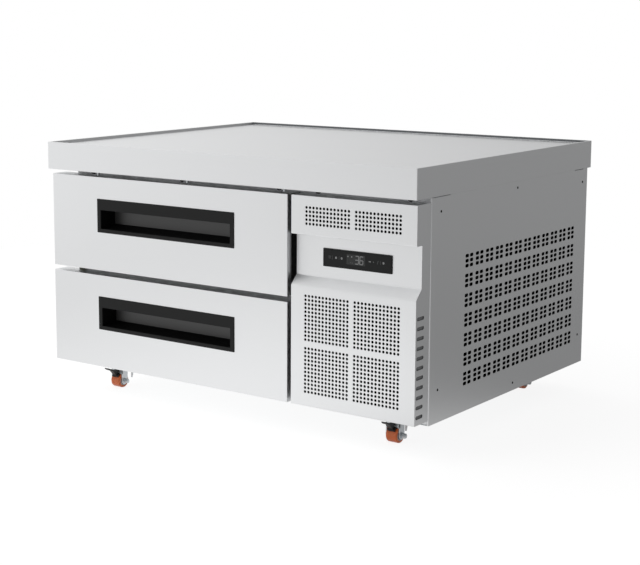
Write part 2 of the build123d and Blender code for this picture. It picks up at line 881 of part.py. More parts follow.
# A finned block with grooves cut in from the front
def finned_block(low, high, count):
    block(low, high)
    groove_depth = (high[1] - low[1]) / 2
    pitch = (high[0] - low[0]) / count
    with BuildSketch(Plane.XZ.offset(-low[1])) as grooves:
        with Locations(((low[0] + high[0]) / 2, (low[2] + high[2]) / 2)):
            with GridLocations(pitch, pitch, count - 1, 1):
                Rectangle(fin_groove, high[2] - low[2])
    extrude(grooves.sketch, amount=-groove_depth, mode=Mode.SUBTRACT)


with BuildPart() as evaporator_coil:
    finned_block(
        (
            cooling_coil_left,
            liner_rear - cooling_coil_depth,
            evaporator_middle_z - cooling_coil_height / 2,
        ),
        (
            cooling_coil_right,
            liner_rear,
            evaporator_middle_z + cooling_coil_height / 2,
        ),
        cooling_coil_fins,
    )
evaporator_coil.part.label = "evaporator_coil"
export_step(evaporator_coil.part, "parts/evaporator_coil.step")

with BuildPart() as evaporator_fan:
    fan_rotor((evaporator_fan_x, evaporator_fan_y, evaporator_middle_z), evaporator_fan_radius)
evaporator_fan.part.label = "evaporator_fan"
export_step(evaporator_fan.part, "parts/evaporator_fan.step")

with BuildPart() as evaporator_motor:
    evaporator_motor_front = evaporator_fan_y + fan_hub_depth / 2 + motor_gap
    evaporator_shaft = Plane(
        origin=(evaporator_fan_x, liner_rear, evaporator_middle_z), z_dir=(0, -1, 0)
    )
    with BuildSketch(evaporator_shaft):
        Rectangle(evaporator_motor_width, evaporator_motor_width)
    extrude(amount=liner_rear - evaporator_motor_front)
    drum(
        evaporator_shaft,
        motor_shaft_radius,
        liner_rear - evaporator_motor_front + motor_gap - shaft_play,
        motor_shaft_sides,
    )
evaporator_motor.part.label = "evaporator_motor"
export_step(evaporator_motor.part, "parts/evaporator_motor.step")


# A pipe along the given points, mitred at its corners
def pipe(points, radius):
    with BuildLine() as route:
        Polyline(*points)
    with BuildSketch(Plane(origin=route.line @ 0, z_dir=route.line % 0)) as section:
        RegularPolygon(radius, line_sides)
    sweep(section.sketch, path=route.line, transition=Transition.RIGHT)


tray_left = evaporator_left + drain_tray_inset
tray_right = evaporator_right - drain_tray_inset
tray_bottom = evaporator_bottom - drain_tray_height
drain_x = partition_right + drain_reach
with BuildPart() as drain_tray:
    block((tray_left, evaporator_front, tray_bottom), (tray_right, liner_rear, evaporator_bottom))
    block(
        (
            tray_left + evaporator_sheet,
            evaporator_front + evaporator_sheet,
            tray_bottom + evaporator_sheet,
        ),
        (
            tray_right - evaporator_sheet,
            liner_rear - evaporator_sheet,
            evaporator_bottom,
        ),
        mode=Mode.SUBTRACT,
    )
    drain_start = tray_right - evaporator_sheet
    bar(
        Plane(origin=(drain_start, drain_y, drain_z), z_dir=(1, 0, 0)),
        drain_radius,
        drain_x - drain_start,
    )
drain_tray.part.label = "drain_tray"
export_step(drain_tray.part, "parts/drain_tray.step")


# The outer edges of the cover, away from the wall
def probe_cover_rim(cover_faces):
    return cover_faces.sort_by(Axis.X)[-1].edges()


probe_y = liner_rear - probe_setback
probe_z = liner_bottom + probe_rise
with BuildPart() as temperature_probe:
    with BuildSketch(Plane.YZ.offset(liner_left)):
        with Locations((probe_y, probe_z)):
            Rectangle(probe_cover_width, probe_cover_length)
    extrude(amount=probe_cover_depth)
    chamfer(probe_cover_rim(faces()), probe_cover_chamfer)
temperature_probe.part.label = "temperature_probe"
export_step(temperature_probe.part, "parts/temperature_probe.step")

# Condenser, shroud, fan and motor
condenser_left = bay_middle_x - condenser_width / 2
condenser_right = bay_middle_x + condenser_width / 2
with BuildPart() as condenser_coil:
    finned_block(
        (condenser_left, condenser_front, base_top),
        (condenser_right, condenser_back, condenser_top),
        condenser_fins,
    )
condenser_coil.part.label = "condenser_coil"
export_step(condenser_coil.part, "parts/condenser_coil.step")

fan_axis = Plane(origin=(bay_middle_x, shroud_back, condenser_middle_z), z_dir=(0, -1, 0))
with BuildPart() as condenser_shroud:
    block(
        (condenser_left, condenser_back, base_top),
        (condenser_right, shroud_back, condenser_top),
    )
    block(
        (condenser_left + shroud_sheet, condenser_back, base_top + shroud_sheet),
        (
            condenser_right - shroud_sheet,
            shroud_back - shroud_sheet,
            condenser_top - shroud_sheet,
        ),
        mode=Mode.SUBTRACT,
    )
    drum(
        fan_axis,
        condenser_fan_radius + fan_tip_gap,
        shroud_sheet,
        fan_opening_sides,
        mode=Mode.SUBTRACT,
    )
condenser_shroud.part.label = "condenser_shroud"
export_step(condenser_shroud.part, "parts/condenser_shroud.step")

with BuildPart() as condenser_fan:
    fan_rotor((bay_middle_x, condenser_fan_y, condenser_middle_z), condenser_fan_radius)
condenser_fan.part.label = "condenser_fan"
export_step(condenser_fan.part, "parts/condenser_fan.step")

motor_back = motor_front + motor_length
motor_axis = Plane(origin=(bay_middle_x, motor_back, condenser_middle_z), z_dir=(0, -1, 0))
with BuildPart() as condenser_motor:
    drum(motor_axis, motor_radius, motor_length, motor_sides)
    drum(
        motor_axis,
        motor_shaft_radius,
        motor_length + motor_gap - shaft_play,
        motor_shaft_sides,
    )
    block(
        (
            bay_middle_x - motor_strut_width / 2,
            motor_back - motor_strut_sheet,
            base_top,
        ),
        (bay_middle_x + motor_strut_width / 2, motor_back, condenser_middle_z),
    )
    block(
        (bay_middle_x - motor_strut_width / 2, motor_back - motor_foot_depth, base_top),
        (bay_middle_x + motor_strut_width / 2, motor_back, base_top + motor_strut_sheet),
    )
condenser_motor.part.label = "condenser_motor"
export_step(condenser_motor.part, "parts/condenser_motor.step")

# Compressor: a shell with a narrower crown on a base plate, with its terminal box
plate_z = base_top + foot_height
shoulder_z = compressor_top - compressor_crown_height
terminal_z = compressor_bottom + terminal_box_rise
with BuildPart() as compressor:
    drum(
        Plane((bay_middle_x, compressor_y, compressor_bottom)),
        compressor_radius,
        shoulder_z - compressor_bottom,
        compressor_sides,
    )
    with BuildSketch(Plane((bay_middle_x, compressor_y, shoulder_z))):
        RegularPolygon(compressor_radius, compressor_sides)
    extrude(amount=compressor_crown_height, taper=compressor_crown_taper)
    with BuildSketch(Plane((bay_middle_x, compressor_y, plate_z))):
        Rectangle(compressor_plate_width, compressor_plate_width)
    extrude(amount=compressor_plate_sheet)
    block(
        (
            bay_middle_x - terminal_box_width / 2,
            compressor_y,
            terminal_z - terminal_box_height / 2,
        ),
        (
            bay_middle_x + terminal_box_width / 2,
            compressor_y + compressor_radius + terminal_box_depth,
            terminal_z + terminal_box_height / 2,
        ),
    )
compressor.part.label = "compressor"
export_step(compressor.part, "parts/compressor.step")

foot_pitch = compressor_plate_width - 2 * foot_inset
with BuildPart() as compressor_mounts:
    with BuildSketch(Plane((bay_middle_x, compressor_y, base_top))):
        with GridLocations(foot_pitch, foot_pitch, 2, 2):
            Rectangle(foot_size, foot_size)
    extrude(amount=foot_height)
compressor_mounts.part.label = "compressor_mounts"
export_step(compressor_mounts.part, "parts/compressor_mounts.step")

# Filter drier, clipped to the partition
drier_middle_z = (drier_bottom + drier_top) / 2
with BuildPart() as filter_drier:
    drum(Plane((drier_x, drier_y, drier_bottom)), drier_radius, drier_length, drier_sides)
    block(
        (partition_right, drier_y - drier_clip_width / 2, drier_middle_z - drier_clip_height / 2),
        (drier_x, drier_y + drier_clip_width / 2, drier_middle_z + drier_clip_height / 2),
    )
filter_drier.part.label = "filter_drier"
export_step(filter_drier.part, "parts/filter_drier.step")

# Copper lines: suction, discharge and liquid line
condenser_line_y = (condenser_front + condenser_back) / 2
suction_x = bay_middle_x - port_offset
discharge_x = bay_middle_x + port_offset
discharge_z = condenser_top + discharge_line_rise
liquid_z = condenser_top + liquid_line_rise
with BuildPart() as refrigerant_lines:
    pipe(
        (
            (cooling_coil_right, suction_y, suction_z),
            (suction_x, suction_y, suction_z),
            (suction_x, compressor_y, suction_z),
            (suction_x, compressor_y, compressor_top),
        ),
        line_radius,
    )
    pipe(
        (
            (discharge_x, compressor_y, compressor_top),
            (discharge_x, compressor_y, discharge_z),
            (discharge_x, condenser_line_y, discharge_z),
            (discharge_x, condenser_line_y, condenser_top),
        ),
        line_radius,
    )
    pipe(
        (
            (drier_x, condenser_line_y, condenser_top),
            (drier_x, condenser_line_y, liquid_z),
            (drier_x, drier_y, liquid_z),
            (drier_x, drier_y, drier_top),
        ),
        line_radius,
    )
refrigerant_lines.part.label = "refrigerant_lines"
export_step(refrigerant_lines.part, "parts/refrigerant_lines.step")

# Pan where the drained water evaporates
pan_back = wall_back - pan_rear_gap
with BuildPart() as condensate_pan:
    block(
        (bay_middle_x - pan_width / 2, pan_back - pan_length, base_top),
        (bay_middle_x + pan_width / 2, pan_back, base_top + pan_height),
    )
    block(
        (
            bay_middle_x - pan_width / 2 + pan_sheet,
            pan_back - pan_length + pan_sheet,
            base_top + pan_sheet,
        ),
        (
            bay_middle_x + pan_width / 2 - pan_sheet,
            pan_back - pan_sheet,
            base_top + pan_height,
        ),
        mode=Mode.SUBTRACT,
    )
condensate_pan.part.label = "condensate_pan"
export_step(condensate_pan.part, "parts/condensate_pan.step")

control_box_top = worktop_underside - control_box_drop
control_box_front = front_edge + control_box_setback
with BuildPart() as control_box:
    block(
        (partition_right, control_box_front, control_box_top - control_box_height),
        (
            partition_right + control_box_width,
            control_box_front + control_box_depth,
            control_box_top,
        ),
    )
control_box.part.label = "control_box"
export_step(control_box.part, "parts/control_box.step")

# Cable gland in the back panel
gland_axis = Plane(origin=(gland_x, box_rear, gland_z), z_dir=(0, 1, 0))
with BuildPart() as cable_gland:
    with BuildSketch(gland_axis):
        RegularPolygon(gland_hex_radius, 6)
    extrude(amount=gland_hex_depth)
    with BuildSketch(gland_axis.offset(gland_hex_depth)):
        RegularPolygon(gland_cap_radius, 6)
    extrude(amount=gland_cap_depth)
    drum(
        gland_axis.offset(-panel_sheet - gland_inner_depth),
        gland_radius,
        panel_sheet + gland_inner_depth,
        gland_sides,
    )
cable_gland.part.label = "cable_gland"
export_step(cable_gland.part, "parts/cable_gland.step")

# Top plates of the casters, each with its raceway and the kingpin that its fork turns on
with BuildPart() as caster_plates:
    for centre_x, centre_y in swivel_centres.values():
        with BuildSketch(Plane((centre_x, centre_y, plate_bottom))):
            Rectangle(plate_size, plate_size)
        extrude(amount=plate_sheet)
        raceway_bottom = crown_top + swivel_play
        drum(
            Plane((centre_x, centre_y, raceway_bottom)),
            swivel_radius,
            plate_bottom - raceway_bottom,
            swivel_sides,
        )
        bar(
            Plane((centre_x, centre_y, crown_bottom - kingpin_end)),
            kingpin_radius,
            raceway_bottom - crown_bottom + kingpin_end,
        )
caster_plates.part.label = "caster_plates"
export_step(caster_plates.part, "parts/caster_plates.step")

for corner, (centre_x, centre_y) in swivel_centres.items():
    wheel_y = centre_y - caster_trail
    wheel_axis = Plane(origin=(centre_x - wheel_width / 2, wheel_y, wheel_radius), z_dir=(1, 0, 0))
    braked = corner.startswith("front")

    # Pressed fork: crown, two legs, axle, tail blade and, in front, the pedal's pin
    with BuildPart() as fork:
        crown_front = wheel_y - fork_leg_width / 2
        block(
            (centre_x - fork_outside, crown_front, crown_bottom),
            (centre_x + fork_outside, centre_y + swivel_radius, crown_top),
        )
        bar(
            Plane((centre_x, centre_y, crown_bottom)),
            kingpin_radius + kingpin_play,
            fork_sheet,
            mode=Mode.SUBTRACT,
        )
        foot_z = wheel_radius - fork_leg_foot
        for leg_x in (centre_x - fork_outside, centre_x + fork_inside):
            with BuildSketch(Plane.YZ.offset(leg_x)):
                with BuildLine():
                    Polyline(
                        (wheel_y - fork_leg_width / 2, crown_bottom),
                        (wheel_y - fork_leg_width / 2, foot_z + fork_leg_corner),
                        (wheel_y - fork_leg_width / 2 + fork_leg_corner, foot_z),
                        (wheel_y + fork_leg_width / 2 - fork_leg_corner, foot_z),
                        (wheel_y + fork_leg_width / 2, foot_z + fork_leg_corner),
                        (centre_y + swivel_radius / 2, crown_bottom),
                        close=True,
                    )
                make_face()
            extrude(amount=fork_sheet)
        bar(wheel_axis.offset(-fork_play), axle_radius, 2 * fork_inside)
        with BuildSketch(Plane.YZ.offset(centre_x - tail_width / 2)):
            with BuildLine():
                Polyline(
                    (centre_y + swivel_radius, crown_top),
                    (centre_y + tail_reach, crown_top),
                    (centre_y + tail_knee_reach, tail_knee_height),
                    (centre_y + tail_tip_reach, tail_tip_height),
                    (centre_y + tail_front_reach, tail_tip_height),
                    (centre_y + tail_front_reach, tail_root_height),
                    (centre_y + swivel_radius, crown_bottom),
                    close=True,
                )
            make_face()
        extrude(amount=tail_width)
        if braked:
            bar(
                Plane(
                    origin=(
                        centre_x - fork_inside,
                        wheel_y + pedal_pin_setback,
                        pedal_pin_height,
                    ),
                    z_dir=(1, 0, 0),
                ),
                pedal_pin_radius,
                2 * fork_inside,
            )
    fork.part.label = f"caster_fork_{corner}"
    export_step(fork.part, f"parts/caster_fork_{corner}.step")

    with BuildPart() as wheel:
        bar(wheel_axis, wheel_radius, wheel_width)
        bar(wheel_axis, axle_radius + axle_play, wheel_width, mode=Mode.SUBTRACT)
    wheel.part.label = f"caster_wheel_{corner}"
    export_step(wheel.part, f"parts/caster_wheel_{corner}.step")

    # Brake pedal: a bent lever on a narrow lug, whose shoe stands just off the tread
    if braked:
        with BuildPart() as pedal:
            with BuildSketch(Plane.YZ.offset(centre_x - pedal_width / 2)):
                with BuildLine():
                    Polyline(
                        (wheel_y + pedal_rear, pedal_heel_height),
                        (wheel_y + pedal_rear, pedal_lug_height),
                        (wheel_y - pedal_lug_front, pedal_lug_height),
                        (wheel_y - pedal_knee, pedal_knee_height),
                        (wheel_y - pedal_bend, pedal_bend_height),
                        (wheel_y - pedal_tip, pedal_tip_height),
                        (wheel_y - pedal_tip, pedal_tip_height - pedal_tip_thickness),
                        (wheel_y - pedal_neck, pedal_neck_height),
                        (wheel_y - pedal_web, pedal_web_height),
                        (wheel_y - pedal_root, pedal_root_height),
                        (wheel_y - pedal_knee, wheel_radius),
                        (wheel_y - pedal_knee, pedal_heel_height),
                        close=True,
                    )
                make_face()
                with Locations((wheel_y, wheel_radius)):
                    Circle(wheel_radius + pedal_shoe_gap, mode=Mode.SUBTRACT)
                with Locations((wheel_y + pedal_pin_setback, pedal_pin_height)):
                    Circle(pedal_pin_radius + pedal_pin_play, mode=Mode.SUBTRACT)
            extrude(amount=pedal_width)
            with BuildSketch(Plane.XY):
                with BuildLine():
                    Polyline(
                        (centre_x - pedal_lug_width / 2, wheel_y + pedal_rear),
                        (centre_x + pedal_lug_width / 2, wheel_y + pedal_rear),
                        (centre_x + pedal_lug_width / 2, wheel_y - pedal_knee),
                        (centre_x + pedal_width / 2, wheel_y - pedal_knee),
                        (centre_x + pedal_width / 2, wheel_y - pedal_web),
                        (centre_x + pedal_tip_width / 2, wheel_y - pedal_tip),
                        (centre_x - pedal_tip_width / 2, wheel_y - pedal_tip),
                        (centre_x - pedal_width / 2, wheel_y - pedal_web),
                        (centre_x - pedal_width / 2, wheel_y - pedal_knee),
                        (centre_x - pedal_lug_width / 2, wheel_y - pedal_knee),
                        close=True,
                    )
                make_face()
            extrude(amount=caster_height, mode=Mode.INTERSECT)
        pedal.part.label = f"brake_pedal_{corner}"
        export_step(pedal.part, f"parts/brake_pedal_{corner}.step")
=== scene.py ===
import math
import bpy
import bmesh
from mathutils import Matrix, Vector


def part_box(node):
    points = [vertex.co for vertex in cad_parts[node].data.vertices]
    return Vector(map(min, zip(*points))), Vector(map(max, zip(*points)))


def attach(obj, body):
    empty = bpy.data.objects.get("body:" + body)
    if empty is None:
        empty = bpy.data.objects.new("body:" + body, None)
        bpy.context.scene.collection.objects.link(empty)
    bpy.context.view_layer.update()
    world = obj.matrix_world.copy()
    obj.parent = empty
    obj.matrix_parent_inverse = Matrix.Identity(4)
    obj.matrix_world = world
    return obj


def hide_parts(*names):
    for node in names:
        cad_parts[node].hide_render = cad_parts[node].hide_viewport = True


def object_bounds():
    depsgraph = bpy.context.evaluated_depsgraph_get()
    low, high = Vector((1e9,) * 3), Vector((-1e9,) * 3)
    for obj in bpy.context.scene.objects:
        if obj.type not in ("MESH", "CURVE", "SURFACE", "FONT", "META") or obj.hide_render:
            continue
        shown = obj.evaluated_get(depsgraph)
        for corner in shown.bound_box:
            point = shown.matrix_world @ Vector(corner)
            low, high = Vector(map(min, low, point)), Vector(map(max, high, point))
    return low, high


# Refrigerated chef base: two drawers, a machine bay behind a perforated grille, four casters.
# Everything is in metres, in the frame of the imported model: X left to right, Y front to back, Z up.
# The dictionaries give sizes in millimetres.
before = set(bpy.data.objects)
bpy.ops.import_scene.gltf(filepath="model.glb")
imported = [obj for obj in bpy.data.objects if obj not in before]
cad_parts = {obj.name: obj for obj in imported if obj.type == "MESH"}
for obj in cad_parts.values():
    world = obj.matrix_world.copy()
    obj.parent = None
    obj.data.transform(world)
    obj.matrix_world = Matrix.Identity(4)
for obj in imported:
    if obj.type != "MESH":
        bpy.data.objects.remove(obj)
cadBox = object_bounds()
mm = 0.001
levels = ("upper", "lower")
corners = ("front_left", "front_right", "rear_left", "rear_right")
print("Frame loaded,", len(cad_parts), "nodes")


# Millimetres to metres: one size, or a list or dictionary of sizes
def metres(sizes):
    if isinstance(sizes, dict):
        return {name: metres(value) for name, value in sizes.items()}
    if isinstance(sizes, (tuple, list)):
        return [metres(value) for value in sizes]
    return sizes * mm


# Materials

# sRGB hex to linear light
def linear(hexColour):
    parts = [int(hexColour[i:i + 2], 16) / 255 for i in (1, 3, 5)]
    return tuple(p / 12.92 if p <= 0.04045 else ((p + 0.055) / 1.055) ** 2.4 for p in parts) + (1.0,)


# Adds one node. A setting is an input's value where the node has that input, else a property.
# A link comes from a socket, or from a node's first output.
def addNode(tree, kind, settings=None, links=None):
    node = tree.nodes.new(kind)
    for name, value in (settings or {}).items():
        if isinstance(name, int) or name in node.inputs:
            node.inputs[name].default_value = value
        else:
            setattr(node, name, value)
    for name, source in (links or {}).items():
        socket = source.outputs[0] if isinstance(source, bpy.types.Node) else source
        tree.links.new(socket, node.inputs[name])
    return node


def newMaterial(name, surface):
    material = bpy.data.materials.new(name)
    material.use_nodes = True
    tree = material.node_tree
    shader = tree.nodes["Principled BSDF"]
    for setting, value in surface.items():
        shader.inputs[setting].default_value = value
    place = addNode(tree, "ShaderNodeTexCoord")
    return material, tree, shader, place.outputs["Object"]


# Sends one pattern to the roughness, between two values, and to a bump of so many micrometres
def feedSurface(tree, shader, pattern, roughness, relief):
    smooth, rough = roughness
    sheen = addNode(tree, "ShaderNodeMapRange", {"To Min": smooth, "To Max": rough}, {"Value": pattern})
    bump = addNode(
        tree, "ShaderNodeBump", {"Strength": 1.0, "Distance": relief * 0.001 * mm}, {"Height": pattern}
    )
    tree.links.new(sheen.outputs["Result"], shader.inputs["Roughness"])
    tree.links.new(bump.outputs["Normal"], shader.inputs["Normal"])


# Stainless sheet, brushed along its length by a belt: a soft satin sheen with fine scratches.
# The scratches are 0.2 mm wide on the real sheet, too fine to show, and drawn 1.2 mm wide.
brushedSteel = {
    "colour": "#F0F1F2", "roughness": (0.33, 0.39), "scratchWidth": 1.2, "scratchLength": 90, "relief": 4,
}


def makeBrushedSteel(name, along):
    s = brushedSteel
    material, tree, shader, place = newMaterial(
        name, {"Base Color": linear(s["colour"]), "Metallic": 1.0}
    )
    across = 1 / (s["scratchWidth"] * mm)
    length = 1 / (s["scratchLength"] * mm)
    scale = (length, across, across) if along == "x" else (across, length, across)
    stretched = addNode(tree, "ShaderNodeMapping", {"Scale": scale}, {"Vector": place})
    scratches = addNode(tree, "ShaderNodeTexNoise", {"Scale": 1.0, "Detail": 3.0}, {"Vector": stretched})
    feedSurface(tree, shader, scratches.outputs["Fac"], s["roughness"], s["relief"])
    return material


# Hot-dip galvanised sheet: grey zinc whose crystals catch the light one by one
galvanised = {"dark": "#A3A8AB", "light": "#C8CCCE", "spangle": 14, "roughness": (0.38, 0.55), "relief": 2}


def makeGalvanisedSteel():
    g = galvanised
    material, tree, shader, place = newMaterial("galvanisedSteel", {"Metallic": 1.0})
    crystals = addNode(tree, "ShaderNodeTexVoronoi", {"Scale": 1 / (g["spangle"] * mm)}, {"Vector": place})
    tone = addNode(tree, "ShaderNodeValToRGB", {}, {"Fac": crystals.outputs["Color"]})
    tone.color_ramp.elements[0].color = linear(g["dark"])
    tone.color_ramp.elements[1].color = linear(g["light"])
    tree.links.new(tone.outputs["Color"], shader.inputs["Base Color"])
    feedSurface(tree, shader, crystals.outputs["Color"], g["roughness"], g["relief"])
    return material


# Finishes whose surface is an even fine grain: moulded, coated, plated, cast or painted.
# grain is the size of one speckle in millimetres, relief its height in micrometres.
grainedFinishes = {
    # Zinc-plated cold-rolled steel: bluish grey, slightly cloudy
    "zincPlate": {"colour": "#C9CDD0", "metal": 1, "roughness": (0.32, 0.46), "grain": 6, "relief": 2},
    # Black powder coat, baked: a fine orange peel
    "powderCoat": {"colour": "#1C1D1E", "roughness": (0.42, 0.5), "grain": 1.6, "relief": 20},
    # ABS moulded in a spark-eroded tool: dull black with a fine grain, drawn 0.9 mm coarse
    "mouldedAbs": {
        "colour": "#0E0F0F", "roughness": (0.5, 0.6), "grain": 0.9, "relief": 10, "specular": 0.3,
    },
    # The same plastic on the pocket's back: glossier, so it mirrors what stands before it, with its black
    # painted a shade lighter as painted light
    "litPocketAbs": {
        "colour": "#2A2A2A", "roughness": (0.42, 0.46), "grain": 4, "relief": 2, "ior": 1.6,
        "specular": 0.75,
    },
    # Walls of the pocket: the same plastic painted blacker and duller, painted shade for the pocket's deep
    # inside
    "shadedPocketAbs": {
        "colour": "#050505", "roughness": (0.5, 0.6), "grain": 1.5, "relief": 5, "specular": 0.15,
    },
    # EPDM rubber, extruded and cured: olive black and matte
    "oliveRubber": {"colour": "#55562A", "roughness": (0.6, 0.75), "grain": 1.2, "relief": 20},
    # Soft PVC gasket, extruded: mid grey, waxy
    "gasketVinyl": {"colour": "#3A3C3E", "roughness": (0.4, 0.5), "grain": 2, "relief": 10},
    # Natural rubber feet, pressed
    "mountRubber": {"colour": "#1A1A1A", "roughness": (0.7, 0.8), "grain": 1.5, "relief": 30},
    # Polyurethane foam, poured and cut: creamy yellow, open cells on cut faces
    "polyurethaneFoam": {"colour": "#D9C48A", "roughness": (0.85, 0.95), "grain": 1.8, "relief": 250},
    # Black enamel, sprayed and baked, on the compressor and the motors
    "blackEnamel": {"colour": "#101112", "roughness": (0.25, 0.36), "grain": 3, "relief": 10},
    # Drawn copper tube, slightly tarnished
    "copper": {"colour": "#C9805E", "metal": 1, "roughness": (0.25, 0.42), "grain": 8, "relief": 3},
    # Cast polyurethane tread: orange that light enters a little, silky
    "castPolyurethane": {
        "colour": "#F27D46", "roughness": (0.3, 0.4), "grain": 3, "relief": 10, "subsurface": 0.15,
    },
    # Glass-filled polyamide hub, moulded: pale grey
    "greyPolyamide": {"colour": "#C4C7C9", "roughness": (0.45, 0.55), "grain": 1, "relief": 10},
    # Black polyamide, moulded with a fine grain: brake pedals, drawer cores, gland, control box
    "blackPolyamide": {"colour": "#141515", "roughness": (0.42, 0.52), "grain": 1, "relief": 15},
    # Fan blades, moulded in grey polypropylene
    "fanPlastic": {"colour": "#5B5F62", "roughness": (0.4, 0.5), "grain": 1.5, "relief": 10},
    # Black-oxide screws: the heat-treated dark skin, oiled
    "blackOxide": {"colour": "#2B2B2C", "metal": 1, "roughness": (0.4, 0.5), "grain": 1, "relief": 5},
    # Black acrylic front, polished by casting against glass
    "blackAcrylic": {
        "colour": "#191A1A", "roughness": (0.2, 0.24), "grain": 20, "relief": 0.5, "ior": 1.49,
        "specular": 0.25,
    },
    # Smoked window over the figures, a shade lighter than the front around it
    "smokedWindow": {
        "colour": "#3B3C3C", "roughness": (0.25, 0.3), "grain": 20, "relief": 0.5, "ior": 1.49,
        "specular": 0.25,
    },
    # Screen-printed ink for the marks on the display, pale and dim
    "paleInk": {"colour": "#9A9B9B", "roughness": (0.6, 0.7), "grain": 0.5, "relief": 2},
    "dimInk": {"colour": "#5C5D5D", "roughness": (0.6, 0.7), "grain": 0.5, "relief": 2},
    # Grey strip at the foot of the rear rim: painted shade for the dark line along that rim, faintly glossy
    "rimShadeGrey": {"colour": "#737679", "roughness": (0.4, 0.5), "grain": 4, "relief": 20},
    # Stainless sheet as it leaves the mill, pickled and not brushed: pale and dull
    "millSteel": {"colour": "#ECEDEE", "metal": 1, "roughness": (0.52, 0.6), "grain": 5, "relief": 3},
    # Black felt sheet behind vents and perforations: painted shade, it stands in for the dark inside behind the
    # holes
    "blackShadeFelt": {
        "colour": "#060606", "roughness": (0.95, 1.0), "grain": 0.7, "relief": 300, "specular": 0.0,
    },
    # Coarse grey fleece: painted shade behind the cheek's slots, which it makes read dark grey
    "greyShadeFleece": {
        "colour": "#8A8B8C", "roughness": (0.95, 1.0), "grain": 1.2, "relief": 400, "specular": 0.0,
    },
}


def makeGrained(name):
    g = grainedFinishes[name]
    material, tree, shader, place = newMaterial(name, {
        "Base Color": linear(g["colour"]),
        "Metallic": float(g.get("metal", 0)),
        "IOR": g.get("ior", 1.5),
        "Specular IOR Level": g.get("specular", 0.5),
        "Subsurface Weight": g.get("subsurface", 0.0),
        "Subsurface Scale": 2 * mm,
    })
    scale = 1 / (g["grain"] * mm)
    speckle = addNode(tree, "ShaderNodeTexNoise", {"Scale": scale, "Detail": 2.0}, {"Vector": place})
    feedSurface(tree, shader, speckle.outputs["Fac"], g["roughness"], g["relief"])
    return material


# Aluminium fins, stamped and pressed on the tubes: thin bright edges side by side, with painted shade in the
# gaps between them.
# The real fins stand 2 mm apart, which is what is drawn.
fins = {
    "pitch": 2.0, "rise": 0.3, "roughness": 0.42, "edge": 0.5,
    "bright": "#C5C9CC", "gap": "#3B3D3F", "painted": "#1B1C1D", "paintedGapShade": "#050505",
}


def makeFins(name, edge, gap, metal):
    material, tree, shader, place = newMaterial(name, {"Metallic": metal, "Roughness": fins["roughness"]})
    across = addNode(tree, "ShaderNodeSeparateXYZ", {}, {"Vector": place})
    count = addNode(
        tree, "ShaderNodeMath", {"operation": "MULTIPLY", 1: 1 / (fins["pitch"] * mm)},
        {0: across.outputs["X"]},
    )
    fraction = addNode(tree, "ShaderNodeMath", {"operation": "FRACT"}, {0: count})
    # Painted shade: the tone darkens from each fin's edge into the gap beside it
    tone = addNode(tree, "ShaderNodeValToRGB", {}, {"Fac": fraction})
    tone.color_ramp.interpolation = "EASE"
    tone.color_ramp.elements[0].color = linear(gap)
    tone.color_ramp.elements[1].color = linear(edge)
    tone.color_ramp.elements[1].position = fins["edge"]
    tree.links.new(tone.outputs["Color"], shader.inputs["Base Color"])
    relief = addNode(
        tree, "ShaderNodeBump", {"Strength": 1.0, "Distance": fins["rise"] * mm}, {"Height": fraction}
    )
    tree.links.new(relief.outputs["Normal"], shader.inputs["Normal"])
    return material


finish = {name: makeGrained(name) for name in grainedFinishes}
finish["steelAlongX"] = makeBrushedSteel("brushedSteelAlongX", "x")
finish["steelAlongY"] = makeBrushedSteel("brushedSteelAlongY", "y")
finish["galvanised"] = makeGalvanisedSteel()
finish["coolingFins"] = makeFins("aluminiumFins", fins["bright"], fins["gap"], 1.0)
finish["condenserFins"] = makeFins("paintedFins", fins["painted"], fins["paintedGapShade"], 0.0)
print("Materials made,", len(finish))


# Shapes

# Which axes a flat drawing lies along: u and v in its plane, w out of it
def onFront(u, v, w):
    return Vector((u, w, v))


def onTop(u, v, w):
    return Vector((u, v, w))


def onSide(u, v, w):
    return Vector((w, u, v))


def middleOf(node):
    low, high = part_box(node)
    return (low + high) / 2


# A rectangle is its lower left and its upper right corner
def shrink(rectangle, inset):
    low, high = rectangle
    return (low[0] + inset, low[1] + inset), (high[0] - inset, high[1] - inset)


# Points round a rectangle with rounded corners, at one depth
def roundedLoop(rectangle, radius, depth, place, steps=4):
    low, high = rectangle
    centres = (
        (high[0] - radius, high[1] - radius, 0),
        (low[0] + radius, high[1] - radius, 90),
        (low[0] + radius, low[1] + radius, 180),
        (high[0] - radius, low[1] + radius, 270),
    )
    loop = []
    for u, v, start in centres:
        for step in range(steps + 1):
            angle = math.radians(start + 90 * step / steps)
            loop.append(place(u + radius * math.cos(angle), v + radius * math.sin(angle), depth))
    return loop


# Several such loops: each row is a rectangle, its corner and its depth
def stackedLoops(rows, place):
    return [roundedLoop(rectangle, corner, depth, place) for rectangle, corner, depth in rows]


# Skin through loops of equal length, with caps or closed into a ring
def addLoops(bm, loops, capFirst=True, ring=False):
    rows = [[bm.verts.new(point) for point in loop] for loop in loops]
    pairs = list(zip(rows, rows[1:])) + ([(rows[-1], rows[0])] if ring else [])
    for first, second in pairs:
        for i in range(len(first)):
            j = (i + 1) % len(first)
            bm.faces.new((first[i], first[j], second[j], second[i]))
    if capFirst and not ring:
        bm.faces.new(list(reversed(rows[0])))
    if not ring:
        bm.faces.new(rows[-1])


def addBox(bm, low, high):
    loop = ((low[0], low[1]), (high[0], low[1]), (high[0], high[1]), (low[0], high[1]))
    addPrism(bm, loop, low[2], high[2], onTop)


# A flat outline drawn out from one depth to another
def addPrism(bm, outline, low, high, place):
    addLoops(bm, [[place(u, v, w) for u, v in outline] for w in (low, high)])


